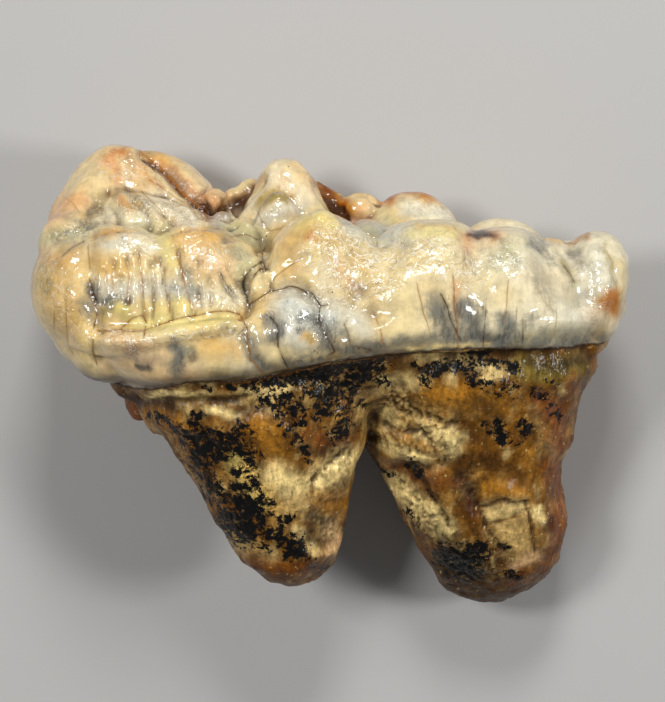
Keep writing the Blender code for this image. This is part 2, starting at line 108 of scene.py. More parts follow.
# Stacked ovals: w, centre u, centre v, half length, half width
cusps = {
    "outerCusp": (
        (-0.5, -14.2, 2.6, 4.4, 4.6), (1.2, -14.8, 3.8, 5.8, 5.9), (3.2, -15.2, 4.4, 6.4, 6.7),
        (5.4, -15.5, 4.7, 6.4, 7.0), (7.5, -15.9, 4.8, 6.0, 6.1), (10.0, -16.3, 4.9, 5.0, 4.7),
        (12.2, -16.5, 5.2, 3.4, 3.2), (13.4, -16.5, 5.4, 2.4, 2.0), (14.2, -16.2, 5.5, 1.7, 1.2),
        (14.6, -16.4, 5.6, 0.6, 0.6),
    ),
    "outerCuspBack": (
        (0.0, -11.4, 3.4, 3.6, 4.2), (1.8, -11.5, 4.4, 4.3, 5.4), (3.6, -11.6, 4.9, 4.6, 6.1),
        (6.0, -11.6, 5.2, 4.5, 6.0), (9.0, -12.0, 5.9, 3.5, 4.6), (11.2, -12.2, 6.7, 3.1, 3.1),
        (12.6, -12.8, 7.1, 2.2, 2.0), (13.4, -13.6, 7.2, 1.6, 1.2), (13.8, -14.2, 7.1, 1.1, 0.7),
    ),
    "innerCuspFront": (
        (2.0, -15.2, -3.0, 4.6, 6.2), (5.0, -15.2, -2.9, 4.3, 6.0), (8.0, -15.1, -2.8, 3.9, 5.2),
        (9.5, -15.2, -2.9, 3.0, 3.9), (10.1, -15.4, -3.3, 2.1, 2.6), (10.4, -15.5, -3.7, 1.3, 1.4),
    ),
    "innerCuspBack": (
        (2.0, -9.4, -3.0, 4.8, 6.4), (5.0, -9.4, -2.9, 4.5, 6.2), (8.0, -9.4, -2.8, 4.1, 5.4),
        (9.5, -9.7, -2.9, 3.0, 4.1), (10.2, -9.9, -3.3, 2.0, 2.7), (10.5, -10.0, -3.7, 1.2, 1.4),
    ),
    "secondOuterCusp": (
        (-0.5, -3.4, 4.0, 3.9, 3.6), (1.4, -3.4, 4.9, 4.7, 5.0), (3.4, -3.4, 5.4, 5.1, 5.7),
        (5.4, -3.4, 5.6, 4.9, 5.8), (7.5, -3.4, 5.9, 4.5, 4.6), (9.5, -3.5, 6.1, 3.5, 3.4),
        (11.3, -3.5, 6.1, 2.5, 2.3), (12.6, -3.6, 6.0, 1.7, 1.5), (13.4, -3.6, 6.0, 0.9, 0.8),
    ),
    "secondInnerCusp": (
        (2.0, -0.6, -3.2, 6.2, 6.2), (5.0, -0.6, -3.4, 5.6, 5.8), (7.5, -0.7, -3.6, 4.9, 4.9),
        (9.3, -0.8, -3.9, 3.7, 3.7), (10.6, -0.9, -4.2, 2.2, 2.2), (11.4, -1.0, -4.4, 0.9, 0.9),
    ),
    "outerRidge": (
        (0.5, 6.2, 2.8, 3.6, 3.6), (2.4, 6.2, 3.6, 4.3, 4.7), (4.2, 6.2, 4.2, 4.6, 5.4),
        (5.8, 6.2, 4.4, 4.4, 5.1), (7.5, 6.2, 5.0, 4.0, 4.0), (9.4, 6.1, 5.6, 3.0, 2.7),
        (10.5, 6.0, 5.9, 1.8, 1.4), (10.9, 6.0, 6.0, 0.9, 0.6),
    ),
    "slopeFacet": (
        (5.0, -12.6, 0.0, 7.0, 5.0), (8.5, -12.8, 0.2, 6.0, 4.2), (10.2, -13.6, 0.6, 4.2, 3.2),
        (11.3, -14.8, 0.9, 2.2, 2.0), (11.9, -15.4, 1.2, 0.9, 1.0),
    ),
    "heelLobe1": (
        (2.0, 7.2, -2.4, 6.0, 6.7), (5.0, 7.2, -2.5, 5.6, 6.6), (7.5, 7.2, -2.7, 5.0, 5.6),
        (9.2, 7.2, -3.1, 3.8, 4.1), (10.2, 7.2, -3.5, 2.6, 2.6), (10.6, 7.2, -3.8, 1.4, 1.3),
    ),
    "heelLobe2": (
        (2.0, 12.6, -1.8, 4.8, 6.3), (5.0, 12.6, -1.9, 4.5, 6.2), (7.2, 12.6, -2.1, 3.9, 5.1),
        (8.7, 12.6, -2.5, 3.0, 3.6), (9.6, 12.6, -2.8, 1.9, 2.1), (9.9, 12.6, -3.0, 1.0, 1.0),
    ),
    "heelLobe3": (
        (2.0, 16.2, -1.0, 3.4, 4.8), (5.0, 16.2, -1.1, 3.1, 4.6), (7.0, 16.1, -1.3, 2.7, 3.8),
        (8.2, 16.0, -1.6, 1.9, 2.6), (8.8, 15.8, -1.8, 1.0, 1.2),
    ),
    "heelTip": (
        (0.6, 18.4, -0.2, 2.0, 4.0), (2.5, 18.8, -0.2, 2.5, 4.4), (5.5, 19.2, -0.2, 2.8, 4.6),
        (7.4, 19.4, -0.3, 2.5, 3.8), (8.5, 19.6, -0.5, 1.7, 2.5), (9.1, 19.7, -0.6, 0.9, 1.1),
    ),
    "oliveTubercle": (
        (6.0, -4.0, -0.5, 2.6, 2.1), (8.6, -4.0, -0.4, 2.4, 1.9), (10.2, -4.0, -0.3, 1.8, 1.5),
        (11.4, -4.0, -0.2, 1.1, 1.0), (12.1, -4.0, -0.2, 0.5, 0.5),
    ),
}

roots = {
    "innerRoot": (
        (3.0, -6.8, -2.5, 8.6, 6.2), (-0.5, -6.6, -2.5, 9.4, 7.1), (-3.0, -5.7, -2.5, 8.7, 6.6),
        (-5.0, -5.1, -2.7, 7.7, 5.9), (-6.4, -4.8, -2.8, 7.2, 5.6), (-7.8, -4.6, -3.0, 6.3, 5.3),
        (-12.0, -3.8, -3.6, 4.9, 4.2), (-15.0, -3.3, -3.9, 3.5, 3.2), (-16.4, -3.0, -4.0, 2.1, 2.0),
        (-16.9, -2.9, -4.0, 1.0, 0.9),
    ),
    "backRoot": (
        (3.0, 10.6, -0.7, 8.4, 6.4), (-0.5, 10.5, -0.5, 9.4, 7.1), (-2.2, 10.3, -0.2, 8.7, 6.8),
        (-4.0, 10.1, 0.1, 8.3, 6.5),
        (-6.4, 10.1, 0.1, 8.0, 6.2), (-8.5, 10.3, 0.1, 7.0, 5.8), (-10.0, 10.6, 0.1, 6.6, 5.6),
        (-13.0, 11.6, 0.3, 6.3, 5.4), (-16.0, 12.1, 0.5, 5.2, 4.7), (-18.3, 11.9, 0.8, 3.7, 3.5),
        (-19.5, 11.7, 1.0, 1.8, 1.7),
    ),
    "outerRootStub": (
        (2.0, -11.2, 4.2, 5.0, 5.0), (-3.0, -12.4, 5.0, 4.0, 4.2), (-5.4, -13.0, 5.2, 3.0, 3.2),
        (-6.3, -13.4, 5.1, 2.2, 2.4),
    ),
}

# Rounded swellings and tubercles: centre and radii
swellings = {
    "frontLobe": ((-18.2, -1.6, 5.2), (4.1, 6.4, 4.5)),
    "baseSwelling": ((-2.2, -6.5, 3.4), (4.5, 4.4, 3.5)),
    "valleyFloor": ((-7.4, 3.4, 5.8), (6.0, 6.4, 3.5)),
    "farRim": ((12.8, 4.6, 5.5), (3.9, 2.8, 3.7)),
    "farHeel": ((18.0, 2.4, 4.7), (3.2, 3.2, 3.2)),
    "frontFill": ((-17.6, -2.0, 2.4), (3.2, 5.0, 3.0)),
    "frontBase": ((-16.2, -3.6, 1.2), (3.2, 4.2, 2.6)),
    "frontBaseRoot": ((-14.2, -2.6, -1.2), (2.4, 3.0, 2.0)),
    "valleyTubercle": ((-6.4, -1.6, 8.7), (1.7, 1.5, 1.8)),
    "valleyPearl": ((-8.2, 1.6, 9.7), (0.75, 0.7, 0.7)),
    "greyBead": ((-9.1, 0.6, 9.3), (0.8, 0.7, 0.7)),
    "roundBead": ((-8.8, 3.6, 10.7), (1.02, 1.0, 1.0)),
    "roundBeadFoot": ((-8.8, 4.2, 9.5), (1.2, 1.3, 1.1)),
    "cuspSaddle": ((-14.8, 6.4, 13.0), (1.3, 1.0, 1.1)),
    "beadFill": ((-10.0, 4.7, 8.9), (1.4, 1.4, 1.2)),
    "pitFill": ((-5.2, -1.9, 8.4), (1.2, 1.2, 1.3)),
    "innerNotch": ((-12.3, -6.3, 6.0), (1.7, 2.1, 2.6)),
    "innerSaddle": ((-12.2, -5.0, 7.9), (2.2, 2.4, 1.5)),
    "valleyFill": ((-5.4, -3.0, 7.4), (1.8, 1.6, 1.8)),
    "frontShoulder": ((-19.0, -0.6, 8.2), (2.8, 3.0, 2.6)),
    "shoulderFront": ((-7.6, 8.0, 9.7), (1.0, 1.4, 1.2)),
    "shoulderBack": ((-6.2, 8.0, 10.4), (1.2, 1.4, 1.2)),
    "amberBead": ((2.1, 6.0, 9.7), (1.6, 1.4, 1.15)),
    "amberBeadSmall": ((3.6, 5.8, 9.3), (0.9, 0.9, 0.8)),
    "basinFront": ((2.6, 1.0, 8.5), (1.6, 1.6, 1.4)),
    "basinMiddle": ((5.4, 0.3, 8.2), (2.1, 1.8, 1.5)),
    "basinBack": ((10.2, 0.6, 7.2), (2.2, 1.7, 1.5)),
    "basinHeel": ((14.6, 0.4, 6.6), (2.0, 1.6, 1.5)),
    "wedgeBead": ((-5.1, -7.3, 7.2), (1.0, 0.9, 1.2)),
}

# Crests, rims and the ledge: u, v, w and thickness along each
crests = {
    "frontCrest": (
        (-16.4, 5.4, 13.5, 0.9), (-17.8, 3.2, 11.8, 1.4), (-19.2, 0.6, 9.4, 1.8), (-19.4, -2.2, 8.0, 1.8),
    ),
    "innerRim": (
        (-5.0, -5.4, 5.4, 3.3), (0.0, -5.6, 5.5, 3.4), (5.0, -5.5, 5.7, 3.4), (10.0, -4.8, 5.7, 3.3),
        (15.0, -3.4, 5.5, 3.0), (19.0, -1.4, 5.3, 2.6),
    ),
    "outerRim": (
        (-16.0, 6.0, 5.0, 3.5), (-9.0, 7.0, 6.2, 3.6), (-3.0, 6.7, 5.8, 3.5), (3.0, 6.0, 5.5, 3.3),
        (9.0, 4.5, 5.3, 3.1), (15.0, 2.9, 5.0, 2.9), (18.5, 1.4, 4.9, 2.7),
    ),
    "innerCrest": (
        (-18.4, -3.6, 8.0, 1.5), (-15.9, -5.2, 9.2, 1.5), (-12.5, -5.6, 8.5, 1.4), (-10.2, -5.4, 9.3, 1.5),
        (-8.0, -5.0, 8.5, 1.4), (-6.4, -4.4, 7.8, 1.3),
    ),
    "cuspButtress": ((-2.2, 7.2, 11.1, 0.9), (-0.5, 7.4, 10.0, 1.0), (1.1, 7.0, 9.2, 1.0)),
    "ledge": (
        (-18.4, -5.4, 3.4, 1.1), (-16.8, -7.8, 3.1, 1.5), (-13.0, -8.8, 3.4, 1.6), (-8.0, -8.8, 4.0, 1.6),
        (-5.8, -8.4, 4.4, 1.3),
    ),
}

# Flat faces where the roots are chipped: centre, direction, reach and depth
chips = {
    "innerRootSide": ((0.0, -6.6, -9.4), (0.62, -0.74, -0.26), 5.0, 0.9),
    "innerRootEnd": ((-1.2, -5.0, -14.0), (0.55, -0.60, -0.58), 3.6, 0.5),
    "backRootSide": ((6.2, -4.6, -11.6), (-0.60, -0.78, -0.20), 5.0, 0.9),
    "backRootFace": ((13.6, -4.8, -13.4), (0.18, -0.97, -0.18), 3.8, 0.45),
    "backRootEnd": ((9.2, -3.4, -17.2), (-0.30, -0.75, -0.58), 3.6, 0.5),
}

# Soft grooves in the picture: points, half width and depth in mm
grooves = {
    "outerCuspGroove": (((143, 155), (166, 169), (181, 190), (199, 206), (209, 217)), 0.45, 0.75),
    "slopeEdge": (((86, 219), (103, 204), (124, 188), (148, 197), (177, 200)), 0.35, 0.3),
    "innerCrestBack": (((92, 233), (124, 224), (167, 227), (215, 221), (236, 225)), 0.4, 0.4),
    "frontLobeEdge": (((88, 246), (90, 268), (91, 289), (97, 314), (93, 340), (97, 358)), 0.45, 0.35),
    "ledgeTop": (
        ((98, 331), (120, 330), (145, 330), (170, 321), (199, 315), (225, 312), (241, 314)), 0.4, 0.55,
    ),
    "ledgeEnd": (((241, 314), (247, 328), (250, 350), (256, 362)), 0.4, 0.4),
    "collarEdge": (((128, 404), (150, 407), (176, 404), (200, 402), (222, 406), (244, 400)), 0.3, 0.3),
    "flankStreak1": (((350, 446), (334, 462), (318, 474), (306, 488)), 0.14, 0.07),
    "flankStreak2": (((352, 458), (338, 472), (324, 484), (312, 496)), 0.14, 0.07),
    "cuspGap": (((262, 262), (250, 270), (244, 280), (244, 290), (248, 303), (246, 313)), 0.35, 0.8),
    "cuspEdge": (((265, 238), (262, 252), (266, 266), (270, 286)), 0.4, 0.5),
    "swellingTop": (
        ((244, 311), (256, 301), (271, 292), (290, 287), (306, 291), (319, 303), (321, 320)), 0.4, 0.5,
    ),
    "lobeGap1": (((394, 245), (388, 262), (376, 286), (370, 300), (372, 310)), 0.9, 0.5),
    "lobeGap2": (((466, 234), (472, 250), (476, 268)), 0.7, 0.45),
    "lobeGap3": (((538, 236), (542, 252), (550, 280)), 0.7, 0.35),
    "lobeGap4": (((566, 243), (574, 258), (581, 275), (582, 300)), 0.8, 0.75),
    "endMargin": (((604, 240), (612, 260), (616, 280), (616, 298), (610, 318)), 0.3, 0.18),
    "yellowDip": (((163, 234), (167, 246), (170, 256)), 0.7, 0.1),
    "crestFold": (((57, 258), (70, 248), (82, 240), (90, 236)), 0.3, 0.3),
    "facetEdgeFront": (((97, 180), (93, 195), (91, 208), (89, 226)), 0.35, 0.22),
    "valleyEdge": (((228, 237), (245, 233), (258, 239), (266, 246)), 0.35, 0.3),
    "secondCuspCrack": (((270, 286), (276, 276), (283, 270), (292, 264), (303, 257)), 0.25, 0.18),
    "secondCuspFold": (((306, 262), (310, 275), (306, 288)), 0.5, 0.2),
    "swellingLeft": (((273, 316), (278, 333), (277, 346), (284, 364)), 0.4, 0.2),
    "swellingRight": (((321, 320), (328, 336), (334, 355)), 0.45, 0.3),
    "bulgeEnd": (((345, 322), (350, 338), (356, 352)), 0.5, 0.2),
    "outerCuspShoulder": (((258, 180), (247, 192), (234, 204), (226, 214)), 0.5, 0.6),
    "secondCuspRight": (((317, 178), (324, 193), (334, 207), (345, 219)), 0.4, 0.45),
    "paleBand": (((120, 398), (150, 403), (190, 404), (225, 403), (255, 400)), 1.0, 0.45),
    "rootHumpEdge": (((228, 425), (240, 412), (262, 408), (285, 415), (296, 432)), 0.35, 0.2),
    "plateTop": (((484, 507), (505, 500), (528, 503)), 0.16, 0.34),
    "plateRight": (((528, 503), (533, 528), (535, 552)), 0.16, 0.3),
    "plateLeft": (((480, 514), (490, 534), (504, 552)), 0.16, 0.3),
    "plateMiddle": (((486, 527), (505, 520), (527, 511)), 0.14, 0.18),
    "stepShadow1": (((374, 440), (392, 456), (412, 464), (430, 468), (444, 461)), 0.3, 0.3),
    "stepShadow2": (((384, 424), (402, 433), (420, 430), (430, 442), (446, 449)), 0.22, 0.3),
    "stepShadow3": (((392, 404), (404, 414), (418, 412), (434, 420), (452, 424)), 0.22, 0.26),
    "stripEdge": (((423, 480), (431, 494), (437, 506), (446, 524)), 0.25, 0.25),
    "flankEdge": (((348, 452), (330, 466), (314, 482), (309, 500)), 0.35, 0.2),
    "flankLow": (((309, 500), (328, 502), (347, 500)), 0.3, 0.16),
    "reddishPit": (((463, 478), (470, 492), (476, 504)), 0.6, 0.3),
    "oliveOutline": (((253, 226), (259, 209), (269, 197), (280, 191), (292, 198), (301, 214)), 0.14, 0.12),
    "valleyOutline": (((226, 238), (230, 224), (242, 216), (254, 220), (262, 232)), 0.2, 0.22),
    "beadOutline": (((200, 210), (200, 198), (210, 189), (222, 193), (227, 205), (220, 214)), 0.16, 0.25),
    "amberBeadOutline": (((338, 214), (342, 202), (352, 194), (368, 194), (378, 204)), 0.2, 0.3),
    "basinOutline": (((347, 238), (350, 224), (366, 218), (382, 224), (388, 236)), 0.18, 0.2),
    "basinOutline2": (((384, 244), (390, 228), (408, 222), (420, 228)), 0.18, 0.2),
    "slopeFold5": (((98, 206), (103, 216), (104, 228)), 0.2, 0.25),
    "slopeFold1": (((108, 204), (116, 214), (120, 226)), 0.2, 0.28),
    "slopeFold2": (((132, 200), (146, 212), (152, 226)), 0.2, 0.3),
    "slopeFold3": (((154, 208), (170, 218), (186, 228)), 0.2, 0.3),
    "slopeFold4": (((170, 206), (186, 214), (204, 224)), 0.2, 0.28),
}

# Soft folds that stand up, in the same way
folds = {
    "slopeNose": (((118, 191), (124, 202), (128, 216)), 0.35, 0.35),
    "slopeRidge1": (((142, 200), (152, 212), (160, 224)), 0.25, 0.25),
    "slopeRidge2": (((162, 204), (178, 215), (192, 226)), 0.25, 0.25),
    "facetRidge": (((104, 158), (99, 178), (95, 196)), 0.45, 0.25),
    "grooveRidge": (((131, 153), (150, 170), (169, 190), (190, 206)), 0.45, 0.3),
    "slopeTop": (((96, 213), (110, 200), (123, 192), (138, 199), (158, 206)), 0.4, 0.2),
    "frontFold": (((60, 264), (74, 253), (87, 245)), 0.45, 0.3),
    "secondCuspRidge": (((318, 217), (312, 238), (307, 256)), 0.7, 0.25),
    "secondCuspCrest": (((322, 216), (345, 223), (372, 237), (391, 249)), 0.45, 0.25),
    "ledgeRoll": (((108, 338), (140, 340), (172, 334), (210, 328), (240, 326)), 0.5, 0.25),
    "rootHump": (((250, 425), (268, 424), (284, 435)), 1.2, 0.35),
    "stepLight1": (((386, 430), (404, 440), (426, 444), (444, 446), (454, 434)), 0.5, 0.2),
    "stepLight2": (((394, 410), (410, 420), (428, 424), (442, 434)), 0.4, 0.14),
    "rootBead": (((512, 490), (516, 495)), 0.5, 0.35),
    "rootRib": (((555, 360), (568, 385), (572, 410)), 0.6, 0.2),
    "amberBulge": (((430, 388), (460, 392), (500, 395)), 1.2, 0.2),
    "flankRidge": (((318, 500), (330, 482), (350, 466)), 0.5, 0.2),
    "rootCollar": (((125, 392), (160, 396), (200, 396), (235, 392)), 0.4, 0.2),
}

# Pleats down the front inner cusp: the groove between each and the next
pleats = {
    "paths": (
        ((104, 272), (103, 290), (104, 304)),
        ((113, 262), (112, 280), (114, 296), (112, 306)),
        ((120, 278), (120, 292), (119, 302)),
        ((127, 258), (129, 275), (128, 290), (127, 304)),
        ((139, 252), (141, 270), (143, 285), (144, 300), (145, 318)),
        ((152, 262), (153, 277), (152, 292), (153, 305), (152, 319)),
        ((159, 258), (160, 270), (162, 284)),
        ((165, 268), (165, 285), (168, 300), (171, 312)),
        ((177, 252), (181, 268), (184, 282), (188, 296), (193, 308)),
        ((190, 272), (192, 286), (196, 298)),
        ((199, 262), (198, 276), (199, 290), (201, 304)),
        ((208, 280), (210, 292), (211, 303)),
        ((221, 272), (226, 284), (233, 294), (240, 303)),
        ((230, 268), (236, 278), (242, 290)),
    ),
    "halfWidth": 0.24,
    "depth": 0.4,
    "wander": 0.5,
}

# Where the glaze is finely crinkled: points, half width in pixels, strength
crinkles = (
    (((335, 240), (360, 262), (378, 278)), 20, 1.3),
    (((322, 245), (340, 285), (355, 300)), 15, 1.0),
    (((45, 262), (58, 300), (80, 335)), 18, 0.5),
    (((110, 165), (150, 175), (190, 200)), 12, 0.6),
    (((404, 256), (430, 252), (450, 262)), 16, 1.1),
    (((590, 255), (600, 285), (590, 310)), 12, 0.5),
    (((275, 180), (290, 200)), 10, 0.35),
    (((190, 250), (215, 258)), 15, 0.75),
    (((132, 243), (148, 246)), 11, 0.8),
    (((130, 206), (160, 210), (195, 220)), 12, 1.0),
    (((345, 236), (385, 256)), 9, 1.0),
    (((100, 285), (150, 282), (200, 285)), 16, 0.45),
    (((445, 255), (475, 270)), 16, 1.1),
    (((492, 258), (512, 262)), 14, 1.0),
    (((583, 262), (592, 274)), 9, 0.7),
    (((170, 336), (205, 333), (242, 329)), 6, 1.0),
    (((105, 336), (135, 346), (150, 340)), 8, 1.0),
    (((270, 305), (300, 312), (320, 330)), 12, 0.5),
    (((50, 235), (70, 230), (90, 228)), 7, 0.9),
    (((215, 290), (238, 300)), 9, 0.8),
    (((310, 300), (330, 310)), 8, 0.7),
    (((415, 205), (445, 212)), 7, 0.8),
    (((265, 218), (280, 214)), 7, 0.5),
    (((400, 232), (410, 240)), 8, 0.5),
    (((100, 216), (118, 206), (134, 208)), 9, 0.7),
    (((190, 238), (205, 242)), 8, 0.6),
    (((218, 200), (210, 206)), 7, 0.4),
)

# Where the root is flaked and rough: points, half width in pixels, strength
flaked = (
    (((402, 404), (414, 420), (440, 436)), 16, 1.0),
    (((380, 436), (410, 450), (440, 458)), 9, 0.8),
    (((345, 462), (328, 480), (300, 492)), 15, 0.7),
    (((400, 488), (420, 510), (440, 528)), 12, 0.9),
    (((466, 482), (474, 500)), 8, 0.3),
    (((322, 512), (330, 530)), 12, 0.5),
    (((265, 400), (310, 390), (350, 380)), 14, 0.5),
    (((450, 556), (490, 566)), 12, 0.6),
)

toothLook = {
    "enamelRoughness": 0.35,
    "rootRoughness": 0.6,
    "shine": 0.14,
    "enamelLacquer": 0.75,
    "rootLacquer": 0.36,
    "lacquerRoughness": 0.05,
    "crinkleLeast": 0.2,
    "grainShare": 0.24,
    "speckScale": 0.75,
    "crinkleHeight": 0.13,
    "rootHeight": 0.12,
    "crackWidth": 0.6,
}

palette = {
    "cream": (238, 215, 158),
    "ivory": (236, 229, 202),
    "pearl": (214, 216, 204),
    # the colour of painted highlights
    "paintedHighlight": (255, 252, 240),
    "slate": (104, 106, 100),
    "mauve": (160, 132, 112),
    "peach": (238, 192, 138),
    "salmon": (222, 156, 100),
    "burntOrange": (196, 114, 20),
    "ochre": (218, 170, 88),
    "gold": (112, 70, 12),
    "amber": (176, 118, 32),
    "yellow": (240, 222, 128),
    "olive": (140, 124, 50),
    "sage": (200, 196, 150),
    "rust": (124, 64, 16),
    "bone": (250, 220, 146),
    "sand": (210, 174, 106),
    "umber": (48, 27, 7),
    "oxblood": (66, 26, 12),
    "dark": (9, 8, 7),
}

# Mottling in the order in which it is laid on: colour and strength, then size in mm, seed, gain and level
# of its noise
enamelMottle = (
    ("ochre", 0.55, (3.0, 3.0, 5.0), 101, 1.0, 0.35),
    ("ivory", 0.6, (2.4, 2.4, 4.5), 103, 1.0, 0.1),
)
rootMottle = (
    ("sand", 0.45, (2.2, 2.2, 4.0), 111, 1.6, -0.05),
    ("ochre", 0.6, (1.1, 1.1, 2.0), 117, 1.8, -0.2),
    ("umber", 0.85, (1.6, 1.6, 3.0), 113, 1.6, -0.15),
    ("bone", 0.7, (1.3, 1.3, 2.2), 115, 1.8, -0.4),
)

# Painted highlight on the raised edges of the flakes and painted shade at the feet of their steps, by the
# height of the steps: colour, strength, gain and level
flakeLightAndShade = (
    ("bone", 0.6, 1.6, -0.5),
    ("umber", 0.7, -2.2, 0.7),
)

